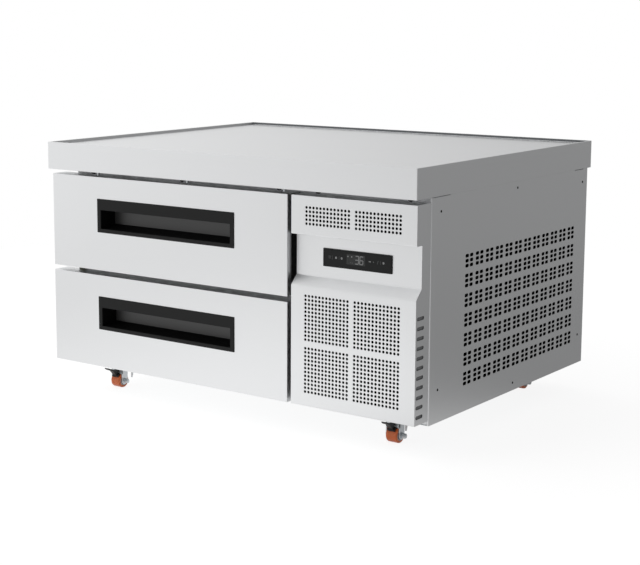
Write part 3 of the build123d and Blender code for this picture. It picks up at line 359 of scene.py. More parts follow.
# A turned form: pairs of radius and distance along the axis. Its ends are closed, or as a ring
# it stays open along the axis and its outline closes on itself
def addTurned(bm, profile, centre, axis, steps, ring=False):
    first, second, along = {
        "x": (Vector((0, 1, 0)), Vector((0, 0, 1)), Vector((1, 0, 0))),
        "y": (Vector((1, 0, 0)), Vector((0, 0, 1)), Vector((0, 1, 0))),
        "z": (Vector((1, 0, 0)), Vector((0, 1, 0)), Vector((0, 0, 1))),
    }[axis]
    turns = [2 * math.pi * step / steps for step in range(steps)]
    spokes = [first * math.cos(turn) + second * math.sin(turn) for turn in turns]
    middles = [(radius, Vector(centre) + along * distance) for radius, distance in profile]
    addLoops(bm, [[middle + radius * spoke for spoke in spokes] for radius, middle in middles], ring=ring)


# Rounds the inner corners of a path with arcs, each of its own radius
def filletPath(points, radii, steps=4):
    points = [Vector(point) for point in points]
    path = [points[0]]
    for before, corner, after, radius in zip(points, points[1:], points[2:], radii):
        back = (before - corner).normalized()
        ahead = (after - corner).normalized()
        half = back.angle(ahead) / 2
        reach = radius / math.tan(half)
        centre = corner + (back + ahead).normalized() * radius / math.sin(half)
        start = (corner + back * reach - centre).normalized()
        end = (corner + ahead * reach - centre).normalized()
        for step in range(steps + 1):
            path.append(centre + start.slerp(end, step / steps) * radius)
    return path + [points[-1]]


# Outline of a folded sheet, seen from its edge: a path and its copy one thickness to the left
def foldedOutline(points, radii, thickness):
    path = [point.to_2d() for point in filletPath([(u, v, 0) for u, v in points], radii)]
    inner = []
    for i, point in enumerate(path):
        ahead = path[min(i + 1, len(path) - 1)] - path[max(i - 1, 0)]
        ahead.normalize()
        inner.append(point + Vector((-ahead.y, ahead.x)) * thickness)
    return [tuple(point) for point in path + inner[::-1]]


# A round hole or a slot with round ends, as a loop of flat points
def slotOutline(u, v, width, height, steps=4):
    radius = 0.999 * min(width, height) / 2
    rectangle = (u - width / 2, v - height / 2), (u + width / 2, v + height / 2)
    return [(point.x, point.y) for point in roundedLoop(rectangle, radius, 0, onTop, steps)]


def grid(firstU, firstV, pitchU, pitchV, columns, rows):
    return [(firstU + pitchU * i, firstV + pitchV * j) for j in range(rows) for i in range(columns)]


def addObject(name, data):
    thing = bpy.data.objects.new(name, data)
    bpy.context.scene.collection.objects.link(thing)
    return thing


# A flat sheet with holes, cut by filling a flat curve
def addHoledSheet(bm, outline, holes, low, high, place):
    curve = bpy.data.curves.new("cutSheet", "CURVE")
    curve.dimensions = "2D"
    curve.fill_mode = "BOTH"
    curve.extrude = (high - low) / 2
    for loop in [outline] + holes:
        spline = curve.splines.new("POLY")
        spline.points.add(len(loop) - 1)
        for point, (u, v) in zip(spline.points, loop):
            point.co = (u, v, 0, 1)
        spline.use_cyclic_u = True
    holder = addObject("cutSheet", curve)
    bpy.context.view_layer.update()
    shape = holder.evaluated_get(bpy.context.evaluated_depsgraph_get())
    mesh = bpy.data.meshes.new_from_object(shape)
    for vertex in mesh.vertices:
        vertex.co = place(vertex.co.x, vertex.co.y, vertex.co.z + (low + high) / 2)
    sheet = bmesh.new()
    sheet.from_mesh(mesh)
    bmesh.ops.remove_doubles(sheet, verts=sheet.verts, dist=1e-6)
    sheet.to_mesh(mesh)
    sheet.free()
    bm.from_mesh(mesh)
    bpy.data.objects.remove(holder)
    bpy.data.curves.remove(curve)
    bpy.data.meshes.remove(mesh)


# Turns a mesh under construction into a piece of the object
def makePiece(name, bm, material, body, nodes=(), bevel=0.0, sharp=35):
    bmesh.ops.recalc_face_normals(bm, faces=bm.faces)
    mesh = bpy.data.meshes.new(name)
    bm.to_mesh(mesh)
    bm.free()
    mesh.materials.append(finish[material])
    mesh.shade_smooth()
    mesh.set_sharp_from_angle(angle=math.radians(sharp))
    piece = addObject(name, mesh)
    softenEdges(piece, bevel)
    if nodes:
        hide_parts(*nodes)
    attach(piece, body)
    return piece


def softenEdges(piece, width):
    if width:
        edges = piece.modifiers.new("edges", "BEVEL")
        edges.width = width
        edges.segments = 2
        edges.limit_method = "ANGLE"
        edges.angle_limit = math.radians(40)
    normals = piece.modifiers.new("normals", "WEIGHTED_NORMAL")
    normals.keep_sharp = True


# A solid of the frame that keeps its own shape: a finish, and edges rounded as on the real piece
def dress(node, material, bevel):
    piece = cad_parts[node]
    for slot in piece.material_slots:
        slot.material = finish[material]
    if bevel:
        weld = piece.modifiers.new("weld", "WELD")
        weld.merge_threshold = 0.01 * mm
        softenEdges(piece, bevel)


# Worktop: one sheet folded down at its edges, with a raised rim round the top. Its turned-in
# edge hangs on screws, some with a pin beside them: places from the middle, and whether pinned.
worktopShape = {
    "corner": 2, "tightCorner": 0.6, "bend": 1.5, "lowerBend": 0.4, "hem": 54, "sheet": 1.5,
    "rim": 5, "rimHeight": 6, "floorBend": 1.0,
    # The next sizes shape the grey strip of painted shade at the foot of the rear rim
    "joint": 0.6, "jointDrop": 0.2, "jointRise": 1.2, "jointCrown": 0.4, "jointFoot": 0.5, "jointSunk": 0.1,
    "screw": ((5, 0.5), (5, -2), (4.2, -3.6), (2.4, -4.4)), "screwSetback": 11,
    "pin": ((2.8, 0.5), (2.8, -6), (2.2, -6.6)), "pinSetback": 12, "pinAside": 12, "deckBevel": 0.5,
}
hemScrews = ((-338, True), (-94, True), (148, True), (239, False), (441.5, False))


def makeWorktop():
    w = metres(worktopShape)
    low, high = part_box("worktop")
    bottom, top = low.z, high.z
    floor = top - w["rimHeight"]
    rim, bend, hem = w["rim"], w["bend"], w["hem"]
    near, far, foot = 0.21 * bend, 0.8 * bend, 0.3 * w["floorBend"]  # points of the rounded edges
    steps = (
        (hem, bottom + w["sheet"]), (hem, bottom), (w["lowerBend"], bottom), (0, bottom + w["lowerBend"]),
        (0, top - bend), (near, top - near), (far, top),
        (rim - far, top), (rim - near, top - near), (rim, top - bend),
        (rim, floor + w["floorBend"]), (rim + foot, floor + foot), (rim + w["floorBend"], floor),
    )
    rows = [(shrink((low, high), inset), max(w["corner"] - inset, w["tightCorner"]), z) for inset, z in steps]
    bm = bmesh.new()
    addLoops(bm, stackedLoops(rows, onTop), capFirst=False)
    makePiece("worktop_sheet", bm, "steelAlongX", "cabinet", ["worktop"])

    # Painted shade: a grey strip along the foot of the rear rim
    bm = bmesh.new()
    wall, crest, base, joint = high.y - rim, top - w["jointDrop"], floor + w["jointRise"], w["joint"]
    bead = [
        (wall + w["jointSunk"], base), (wall - 0.7 * joint, base), (wall - joint, base + w["jointFoot"]),
        (wall - joint, crest - w["jointCrown"]), (wall - 0.6 * joint, crest), (wall + w["jointSunk"], crest),
    ]
    addPrism(bm, bead, low.x + rim, high.x - rim, onSide)
    makePiece("worktop_rim_shade", bm, "rimShadeGrey", "cabinet")

    # Screws and pins in the turned-in edge
    screws, pins = bmesh.new(), bmesh.new()
    for place, pinned in hemScrews:
        x = place * mm
        addTurned(screws, w["screw"], (x, low.y + w["screwSetback"], bottom), "z", 20)
        if pinned:
            addTurned(pins, w["pin"], (x + w["pinAside"], low.y + w["pinSetback"], bottom), "z", 16)
    makePiece("worktop_screws", screws, "blackOxide", "cabinet")
    makePiece("worktop_pins", pins, "zincPlate", "cabinet")

    bm = bmesh.new()
    deckLow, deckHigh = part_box("worktop_filling")
    addBox(bm, deckLow + Vector((0, 0, w["sheet"])), deckHigh)
    makePiece(
        "worktop_deck", bm, "galvanised", "cabinet", ["worktop_filling"], bevel=w["deckBevel"]
    )


makeWorktop()
print("Worktop made")


# Cabinet sheets

sidePanel = {
    "sheet": 0.8, "bend": 3.0, "bendCut": 3.6, "hemBend": 0.9, "hem": 4, "hemDepth": 12,
    "topGap": 1.2, "frontGap": 66, "rearGap": (62, 20), "felt": 1.5, "feltGap": 1.0, "feltMargin": 24,
    "ventColumns": 12, "ventRows": 7, "pitchY": 40.25, "pitchZ": 38.3, "firstY": 196.65, "firstDrop": 191.7,
    "slotWidth": 13.4, "slotHeight": 6.9, "slotPitchY": 17.3, "slotPitchZ": 9.6,
    "slotColumns": 2, "slotRows": 3,
    "screw": ((2.6, -1.2), (2.6, 0.1), (2.2, 0.5), (1.2, 0.75), (0.9, 0.2), (0.1, 0.1)),
}
# Screws: distance behind the worktop's front edge and below its rim
sideScrews = ((86.9, 86.4), (388.7, 71.0), (690.6, 86.7), (85.2, 422.7), (388.2, 470.1), (689.0, 422.6))


def makeSidePanel(side, inward, vented):
    s = metres(sidePanel)
    node, name = side + "_side_panel", side + "_side_sheet"
    low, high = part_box(node)
    outside = low.x if inward > 0 else high.x
    sheet = inward * s["sheet"]
    front, rear = low.y + s["bendCut"], high.y
    gapStart, gapEnd = (rear - distance for distance in s["rearGap"])
    frontGapEnd = low.y + s["frontGap"]
    lowered = high.z - s["topGap"]
    outline = [
        (front, low.z), (rear, low.z), (rear, high.z), (gapEnd, high.z), (gapEnd, lowered),
        (gapStart, lowered), (gapStart, high.z), (frontGapEnd, high.z), (frontGapEnd, lowered),
        (front, lowered),
    ]
    vents = grid(
        cadBox[0].y + s["firstY"], cadBox[1].z - s["firstDrop"], s["pitchY"], -s["pitchZ"],
        sidePanel["ventColumns"], sidePanel["ventRows"],
    )
    slotPlaces = grid(
        -s["slotPitchY"] / 2, -s["slotPitchZ"], s["slotPitchY"], s["slotPitchZ"],
        sidePanel["slotColumns"], sidePanel["slotRows"],
    )
    slots = [
        slotOutline(ventY + y, ventZ + z, s["slotWidth"], s["slotHeight"], 3)
        for ventY, ventZ in vents for y, z in slotPlaces
    ]
    bm = bmesh.new()
    nearSide, farSide = sorted((outside, outside + sheet))
    addHoledSheet(bm, outline, slots if vented else [], nearSide, farSide, onSide)
    hem = outside + inward * s["hem"]
    path = ((front, outside), (low.y, outside), (low.y, hem), (low.y + s["hemDepth"], hem))
    folded = foldedOutline(path, [s["bend"], s["hemBend"]], -sheet)
    addPrism(bm, [(x, y) for y, x in folded], low.z, lowered, onTop)
    makePiece(name, bm, "steelAlongY", "cabinet", [node])
    if not vented:
        return

    # Black felt behind the vents: painted shade for the dark inside
    behind = outside + sheet + inward * s["feltGap"]
    margin = s["feltMargin"]
    bm = bmesh.new()
    addBox(
        bm,
        (behind + inward * s["felt"], vents[0][0] - margin, vents[-1][1] - margin),
        (behind, vents[-1][0] + margin, vents[0][1] + margin),
    )
    makePiece(name + "_felt", bm, "blackShadeFelt", "cabinet")


def makeSideScrews(side, outward):
    low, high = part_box(side + "_side_panel")
    outside = high.x if outward > 0 else low.x
    profile = [(radius, outward * distance) for radius, distance in metres(sidePanel["screw"])]
    bm = bmesh.new()
    for behind, below in metres(sideScrews):
        addTurned(bm, profile, (outside, cadBox[0].y + behind, cadBox[1].z - below), "x", 16)
    makePiece(side + "_side_screws", bm, "blackOxide", "cabinet")


makeSidePanel("right", -1, True)
makeSidePanel("left", 1, False)
makeSideScrews("right", 1)
makeSideScrews("left", -1)


# Back sheet: slots for the machine bay's air, a bore for the gland, screws round the edge
backPanel = {
    "slotCount": 9, "slotPitch": 22, "slotWidth": 180, "slotHeight": 8, "slotRise": 200, "glandBore": 22,
    "screwInset": 12, "screwsAcross": 5, "screwRows": 3,
    "screw": ((3.4, -1), (3.4, 0.6), (2.6, 1.6), (1.3, 1.9), (1.0, 1.1), (0.1, 1.0)),
}


def makeBackPanel():
    b = metres(backPanel)
    low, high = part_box("back_panel")
    gland = middleOf("cable_gland")
    bayMiddle = (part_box("partition_panel")[1].x + high.x) / 2
    holes = [
        slotOutline(bayMiddle, low.z + b["slotRise"] + b["slotPitch"] * i, b["slotWidth"], b["slotHeight"])
        for i in range(backPanel["slotCount"])
    ]
    holes.append(slotOutline(gland.x, gland.z, b["glandBore"], b["glandBore"], 6))
    bm = bmesh.new()
    outline = [(low.x, low.z), (high.x, low.z), (high.x, high.z), (low.x, high.z)]
    addHoledSheet(bm, outline, holes, low.y, high.y, onFront)
    makePiece("back_sheet", bm, "galvanised", "cabinet", ["back_panel"])

    bm = bmesh.new()
    inset, columns, rows = b["screwInset"], backPanel["screwsAcross"], backPanel["screwRows"]
    across = (high.x - low.x - 2 * inset) / (columns - 1)
    up = (high.z - low.z - 2 * inset) / (rows - 1)
    for i, (x, z) in enumerate(grid(low.x + inset, low.z + inset, across, up, columns, rows)):
        if i % columns in (0, columns - 1) or i // columns in (0, rows - 1):
            addTurned(bm, b["screw"], (x, high.y, z), "y", 16)
    makePiece("back_screws", bm, "zincPlate", "cabinet")


makeBackPanel()
print("Cabinet sheets made")


# Drawer fronts: a folded steel skin round a black core, with a recessed pull

frontShape = {
    "sheet": 1.2, "bend": 1.6, "corner": 1.2, "tightCorner": 0.3, "cutCorner": 2, "cutMargin": 4,
    "sideReturn": 13, "overlap": 1, "coreBevel": 1.0,
}


def makeFrontSkin(level):
    f = metres(frontShape)
    node = level + "_front_skin"
    low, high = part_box(node)
    pullLow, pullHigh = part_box(level + "_pull")
    face, bend, sheet, corner = low.y, f["bend"], f["sheet"], f["corner"]
    outer = (low.x, low.z), (high.x, high.z)
    cut = shrink(((pullLow.x, pullLow.z), (pullHigh.x, pullHigh.z)), f["cutMargin"])

    def outerRow(inset, y):
        return shrink(outer, inset), max(corner - inset, f["tightCorner"]), y

    turned = face + f["sideReturn"]
    rows = [
        outerRow(0, turned), outerRow(0, face + bend), outerRow(0.3 * bend, face + 0.3 * bend),
        outerRow(bend, face), (cut, f["cutCorner"], face), (cut, f["cutCorner"], face + sheet),
        outerRow(bend + sheet, face + sheet), outerRow(sheet, face + bend + sheet), outerRow(sheet, turned),
    ]
    bm = bmesh.new()
    addLoops(bm, stackedLoops(rows, onFront), ring=True)
    # Top and bottom returns reach back over the core
    for bottom, top in ((low.z, low.z + sheet), (high.z - sheet, high.z)):
        addBox(bm, (low.x + corner, turned - f["overlap"], bottom), (high.x - corner, high.y, top))
    makePiece(level + "_front_sheet", bm, "steelAlongX", level + "_drawer", [node])


# Pull: a flat frame with a wide lip above a drafted pocket.
# The pocket's corners open out with its depth, given as a share.
pullShape = {
    "flange": 1.5, "edge": 0.6, "side": 10, "bottom": 8, "lip": 23.5, "lipThickness": 3,
    "cupMargin": 4, "cupWall": 2, "cupCorner": 2, "pocket": 33, "draft": 12,
    "backRound": 1.2, "backInset": 0.72, "backCorner": 2, "corner": 1.0,
}
pocketCorners = ((0, 1.0), (0.5, 1.5), (0.97, 2.0))


def makePull(level):
    p = metres(pullShape)
    node = level + "_pull"
    low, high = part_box(node)
    front, edge, corner = low.y, p["edge"], p["corner"]
    flange, floor, pocket = front + p["flange"], front + p["lipThickness"], p["pocket"]
    outer = (low.x, low.z), (high.x, high.z)
    cup = shrink(outer, p["cupMargin"])
    mouth = (low.x + p["side"], low.z + p["bottom"]), (high.x - p["side"], high.z - p["lip"])
    inside = mouth[0], (mouth[1][0], high.z - p["cupMargin"] - p["cupWall"])
    taper = math.tan(math.radians(pullShape["draft"]))
    rows = [
        (cup, p["cupCorner"], high.y), (cup, p["cupCorner"], flange), (outer, corner, flange),
        (outer, corner, front + edge), (shrink(outer, edge), corner, front),
        (shrink(mouth, -edge), corner, front), (mouth, corner, front + edge), (mouth, corner, floor),
    ]
    flangeRings = len(rows) - 1
    for share, pocketCorner in pocketCorners:
        y = floor + share * (pocket - p["backRound"])
        rows.append((shrink(inside, share * pocket * taper), pocketCorner * mm, y))
    rows.append((shrink(inside, pocket * taper + p["backInset"]), p["backCorner"], floor + pocket))
    loops = stackedLoops(rows, onFront)
    bm = bmesh.new()
    addLoops(bm, loops)

    # Frame and outside are grained; the pocket's walls carry painted shade, its back painted light with a
    # glossier face
    bm.faces.ensure_lookup_table()
    flangeFaces = len(loops[0]) * flangeRings
    for index, face in enumerate(bm.faces):
        face.material_index = 0 if index < flangeFaces or index == len(bm.faces) - 2 else 1
    bm.faces[-1].material_index = 2
    piece = makePiece(level + "_pull_moulding", bm, "mouldedAbs", level + "_drawer", [node])
    piece.data.materials.append(finish["shadedPocketAbs"])
    piece.data.materials.append(finish["litPocketAbs"])


for level in levels:
    makeFrontSkin(level)
    makePull(level)
    dress(level + "_front_core", "blackPolyamide", frontShape["coreBevel"] * mm)
print("Drawer fronts made")


# Grille: one sheet folded round the controller's recess, perforated above and below it

grilleShape = {
    "sheet": 0.8, "bend": 1.4, "slopeBend": 4.0, "flatMargin": 4,
    "hole": 5.5, "holePitchX": 8.0, "holePitchZ": 7.76, "columns": 13, "capRows": 5, "panelRows": 12,
    "fieldPitchX": 112.2, "fieldPitchZ": 102.3, "capFieldDrop": 22.2, "panelFieldDrop": 18.5,
    "panelFieldShift": -1.4,
    "capHeight": 75, "recessHeight": 80.5, "recessDepth": 18.5, "slopeHeight": 18.5,
    "slotCount": 11, "slotLength": 25.4, "slotHeight": 7, "slotDrop": 35.1, "slotRise": 14.9,
    "slotSetback": 3.8,
    "feltSides": (4, 6), "feltDepths": (1.0, 3.5), "panelFelt": (8, 6), "capFelt": 5,
    "fleece": 2, "fleeceGap": 1.2, "fleeceMargins": (3, 6),
}


def holeField(firstX, firstZ, rows):
    g = metres(grilleShape)
    places = grid(firstX, firstZ, g["holePitchX"], -g["holePitchZ"], grilleShape["columns"], rows)
    return [slotOutline(x, z, g["hole"], g["hole"], 3) for x, z in places]


def makeGrille():
    g = metres(grilleShape)
    low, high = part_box("front_grille")
    sheet, bend, slopeBend, margin = (g[name] for name in ("sheet", "bend", "slopeBend", "flatMargin"))
    front, behind = low.y, low.y + sheet
    capBottom = high.z - g["capHeight"]
    recessBottom = capBottom - g["recessHeight"]
    panelTop = recessBottom - g["slopeHeight"]
    recess = front + g["recessDepth"]
    bm = bmesh.new()

    # Perforated flats
    capHoles, panelHoles = [], []
    for side in (-1, 1):
        fieldMiddle = (low.x + high.x + side * g["fieldPitchX"]) / 2
        firstX = fieldMiddle - (grilleShape["columns"] - 1) * g["holePitchX"] / 2
        capHoles += holeField(firstX, high.z - g["capFieldDrop"], grilleShape["capRows"])
        for row in range(2):
            top = panelTop - g["panelFieldDrop"] - row * g["fieldPitchZ"]
            panelHoles += holeField(firstX + g["panelFieldShift"], top, grilleShape["panelRows"])
    for bottom, top, holes in (
        (low.z + margin, panelTop - margin, panelHoles),
        (capBottom + margin, high.z - margin, capHoles),
    ):
        outline = [(low.x, bottom), (high.x, bottom), (high.x, top), (low.x, top)]
        addHoledSheet(bm, outline, holes, front, behind, onFront)

    # Folds between them
    folds = (
        (((high.y, low.z), (front, low.z), (front, low.z + margin)), [bend]),
        (((front, panelTop - margin), (front, panelTop), (recess, recessBottom), (recess, capBottom),
          (front, capBottom), (front, capBottom + margin)), [slopeBend, slopeBend, bend, bend]),
        (((front, high.z - margin), (front, high.z), (high.y, high.z)), [bend]),
    )
    for path, radii in folds:
        addPrism(bm, foldedOutline(path, radii, -sheet), low.x, high.x, onSide)

    # Cheeks, the right one with air slots
    profile = [
        (high.y, low.z + sheet), (behind, low.z + sheet), (behind, panelTop),
        (recess + sheet, recessBottom), (recess + sheet, capBottom + sheet), (behind, capBottom + sheet),
        (behind, high.z - sheet), (high.y, high.z - sheet),
    ]
    slotY = front + g["slotSetback"] + g["slotLength"] / 2
    slotTop = panelTop - g["slotDrop"]
    slotPitch = (slotTop - low.z - g["slotRise"]) / (grilleShape["slotCount"] - 1)
    slotLevels = [slotTop - slotPitch * i for i in range(grilleShape["slotCount"])]
    slots = [slotOutline(slotY, z, g["slotLength"], g["slotHeight"]) for z in slotLevels]
    addHoledSheet(bm, profile, slots, high.x - sheet, high.x, onSide)
    addHoledSheet(bm, profile, [], low.x, low.x + sheet, onSide)
    makePiece("grille_sheet", bm, "steelAlongX", "cabinet", ["front_grille"])

    # Black felt behind the perforations: painted shade for the dark inside
    bm = bmesh.new()
    left, right = low.x + g["feltSides"][0], high.x - g["feltSides"][1]
    near, far = (front + depth for depth in g["feltDepths"])
    below, above = g["panelFelt"]
    for bottom, top in (
        (low.z + below, panelTop - above), (capBottom + g["capFelt"], high.z - g["capFelt"])
    ):
        addBox(bm, (left, near, bottom), (right, far, top))
    makePiece("grille_shade_felt", bm, "blackShadeFelt", "cabinet")

    # Coarser grey fleece behind the slots of the cheek: painted shade for the shaded inside
    bm = bmesh.new()
    face = high.x - sheet - g["fleeceGap"]
    beyondY, beyondZ = g["fleeceMargins"]
    reach = g["slotLength"] / 2 + beyondY
    addBox(
        bm,
        (face - g["fleece"], slotY - reach, slotLevels[-1] - beyondZ), (face, slotY + reach, slotTop + beyondZ),
    )
    makePiece("grille_side_shade_fleece", bm, "greyShadeFleece", "cabinet")


makeGrille()
print("Grille made")


# Temperature controller: a black glass front with a smoked window and printed marks

displayShape = {
    "edge": 0.8, "corner": 1.0, "rim": 3.0, "rimDepth": 0.25, "rear": 3.5, "plate": 2.5,
    "panelGap": 0.1, "window": (-23, 18.4, -8.6, 10.9), "windowCorner": 1.2, "proud": 0.06,
    "figureHeight": 14.8, "figureWidth": 7.0, "figureRise": 1.2, "stroke": 1.5, "strokeCorner": 0.5,
    "figuresAt": (0.2, 10.2), "lean": 0.06, "markSunk": 0.02,
}
# Which of the seven strokes each figure has: top, upper right, lower right, bottom, lower left,
# upper left, middle
figureStrokes = {"3": (1, 1, 1, 1, 0, 0, 1), "6": (1, 0, 1, 1, 1, 1, 1)}
# Printed marks: their middle from the display's middle, their width and height
brightMarks = (
    (-47, 1.3, 3.8, 4.4), (-34, 1.3, 3.8, 4.4), (-20, 6.5, 2.6, 2.6), (-11.5, 6.5, 2.6, 2.6),
    (28.6, 1.3, 5.0, 1.8), (58.6, 1.3, 4.0, 4.4),
)
dimMarks = (
    (-61, 3.3, 6.0, 0.8), (-61, 1.3, 6.0, 0.8), (-61, -0.7, 6.0, 0.8), (-55, 1.3, 0.5, 7.0),
    (-40, 1.3, 0.5, 7.0), (-14, -5.0, 3.0, 1.2), (-10, -5.0, 3.0, 1.2), (36.7, 1.3, 2.6, 2.6),
    (52, 1.3, 0.5, 7.0),
)
slantedMark = (46, 1.3, 1.0, 6.5)
markSlant = 0.35
markRound = 0.42  # a printed mark's corner, as a share of its shorter side


# A printed mark: a thin rounded tile that stands on the face
def addMark(bm, middle, size, face, proud, lean, radius):
    tile = (-size[0] / 2, -size[1] / 2), (size[0] / 2, size[1] / 2)

    def leaning(u, v, w):
        return Vector((middle[0] + u + v * lean, w, middle[1] + v))

    addLoops(bm, stackedLoops(((tile, radius, face), (tile, radius, face - proud)), leaning))


def makeDisplay():
    d = metres(displayShape)
    lean = displayShape["lean"]
    low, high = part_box("temperature_controller")
    face, middle = low.y, middleOf("temperature_controller")
    outer = (low.x, low.z), (high.x, high.z)
    edge, corner, proud = d["edge"], d["corner"], d["proud"]
    plateBack, sunk = face + d["plate"], face + d["rimDepth"]
    rear, inner = shrink(outer, d["rear"]), shrink(outer, d["rim"])
    rows = (
        (rear, corner, high.y), (rear, corner, plateBack), (outer, corner, plateBack),
        (outer, corner, face + edge), (shrink(outer, 0.3 * edge), corner, face + 0.3 * edge),
        (shrink(outer, edge), corner, face), (inner, corner, face), (inner, corner, sunk),
    )
    bm = bmesh.new()
    addLoops(bm, stackedLoops(rows, onFront))
    makePiece("display_front", bm, "mouldedAbs", "cabinet", ["temperature_controller"])

    # Glossy panel inside the rim
    bm = bmesh.new()
    panel, glass = shrink(inner, d["panelGap"]), face + d["panelGap"]
    addLoops(bm, stackedLoops(((panel, corner, sunk), (panel, corner, glass)), onFront))
    makePiece("display_panel", bm, "blackAcrylic", "cabinet")

    # Window over the figures
    left, right, bottom, top = d["window"]
    bm = bmesh.new()
    windowMiddle = middle.x + (left + right) / 2, middle.z + (bottom + top) / 2
    addMark(bm, windowMiddle, (right - left, top - bottom), glass, proud, 0, d["windowCorner"])
    makePiece("display_window", bm, "smokedWindow", "cabinet")

    # Figures as seven short strokes each
    bm = bmesh.new()
    width, stroke = d["figureWidth"], d["stroke"]
    half = d["figureHeight"] / 2
    strokes = (
        (0, half, width, stroke), (width / 2, half / 2, stroke, half), (width / 2, -half / 2, stroke, half),
        (0, -half, width, stroke), (-width / 2, -half / 2, stroke, half), (-width / 2, half / 2, stroke, half),
        (0, 0, width, stroke),
    )
    for figure, place in zip("36", d["figuresAt"]):
        for shown, (x, z, strokeWidth, strokeHeight) in zip(figureStrokes[figure], strokes):
            if shown:
                spot = middle.x + place + x + z * lean, middle.z + d["figureRise"] + z
                size = strokeWidth, strokeHeight
                addMark(bm, spot, size, glass - proud, 1.2 * proud, lean, d["strokeCorner"])
    makePiece("display_figures", bm, "paleInk", "cabinet")

    # Touch fields: small printed marks with thin lines between them
    upright = [(mark, 0) for mark in dimMarks]
    slanted = upright[:-1] + [(slantedMark, markSlant)] + upright[-1:]
    for name, marks, ink in (
        ("display_marks", [(mark, 0) for mark in brightMarks], "paleInk"),
        ("display_dim_marks", slanted, "dimInk"),
    ):
        bm = bmesh.new()
        for mark, slant in marks:
            x, z, markWidth, markHeight = metres(mark)
            size = markWidth, markHeight
            spot = middle.x + x, middle.z + z
            addMark(bm, spot, size, glass + d["markSunk"], 1.6 * proud, slant, markRound * min(size))
        makePiece(name, bm, ink, "cabinet")


makeDisplay()
print("Controller made")


# Casters: pressed forks on ball races, orange treads on grey hubs, black brake pedals

casterShape = {
    "treadRound": 2.5, "treadSeat": 0.6, "hubRadius": 10.8, "hubRecess": 0.7, "boss": 5.2, "bossEdge": 0.5,
    "bore": 3.05, "hubLip": (1.8, 1.5, 1.2, 0.2), "hubEdge": 0.3, "trail": 17,
    "sheet": 2.5, "legWidth": 18, "legStraight": 34, "legReach": 6.5, "footDrop": 8.1,
    "crownReach": 13, "crownCorner": 3, "lipDrop": 11.3, "lipGap": 5.2, "tailWidth": 4,
    "axle": 3, "washer": 6.6, "washerSheet": 1, "nut": 5.2, "nutHeight": 8.8, "nutEdge": (0.8, 0.6),
    "boltEnd": 3.2, "boltReach": 9.5, "boltEdge": 0.5, "headRise": ((5.2, 0), (4.6, 2), (2.6, 2.8), (0.2, 3)),
    "pin": 1.9, "pinReach": 0.8, "pinBehind": 2, "pinHeight": 38, "forkBevel": 0.5,
    # Tail blade from the side: distance behind the swivel axis and height
    "tail": (
        (14, 45), (28, 45), (27.5, 36), (27, 26), (25, 18), (22.8, 12.8), (21.8, 12.8), (22, 26), (22.3, 40),
        (14, 42.5),
    ),
}


def makeWheel(corner):
    c = metres(casterShape)
    node, wheelBody = "caster_wheel_" + corner, "wheel_" + corner
    low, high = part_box(node)
    centre = middleOf(node)
    radius, half, shoulder = (high.z - low.z) / 2, (high.x - low.x) / 2, c["treadRound"]

    # Tread, cast round the hub, with rounded shoulders
    turns = [math.radians(18 * step) for step in range(6)]
    flank = [
        (radius + shoulder * (math.sin(turn) - 1), half + shoulder * (math.cos(turn) - 1)) for turn in turns
    ][::-1]
    flank.append((c["hubRadius"], half - c["treadSeat"]))
    bm = bmesh.new()
    addTurned(bm, [(r, -along) for r, along in flank[::-1]] + flank, centre, "x", 64, ring=True)
    makePiece("tread_" + corner, bm, "castPolyurethane", wheelBody, [node])

    # Hub: rim, recessed web and a boss round the axle
    rim, boss, edge = c["hubRadius"], c["boss"], c["hubEdge"]
    inside, lipFoot, lipStart, lipEnd = (rim - inset for inset in c["hubLip"])
    flank = [
        (rim, half - edge), (lipEnd, half), (lipStart, half), (lipFoot, half - edge),
        (inside, half - c["hubRecess"]), (boss, half - c["hubRecess"]), (boss, half - c["bossEdge"]),
        (boss - c["bossEdge"], half), (c["bore"], half),
    ]
    bm = bmesh.new()
    addTurned(bm, [(r, -along) for r, along in flank[::-1]] + flank, centre, "x", 48, ring=True)
    makePiece("hub_" + corner, bm, "greyPolyamide", wheelBody)


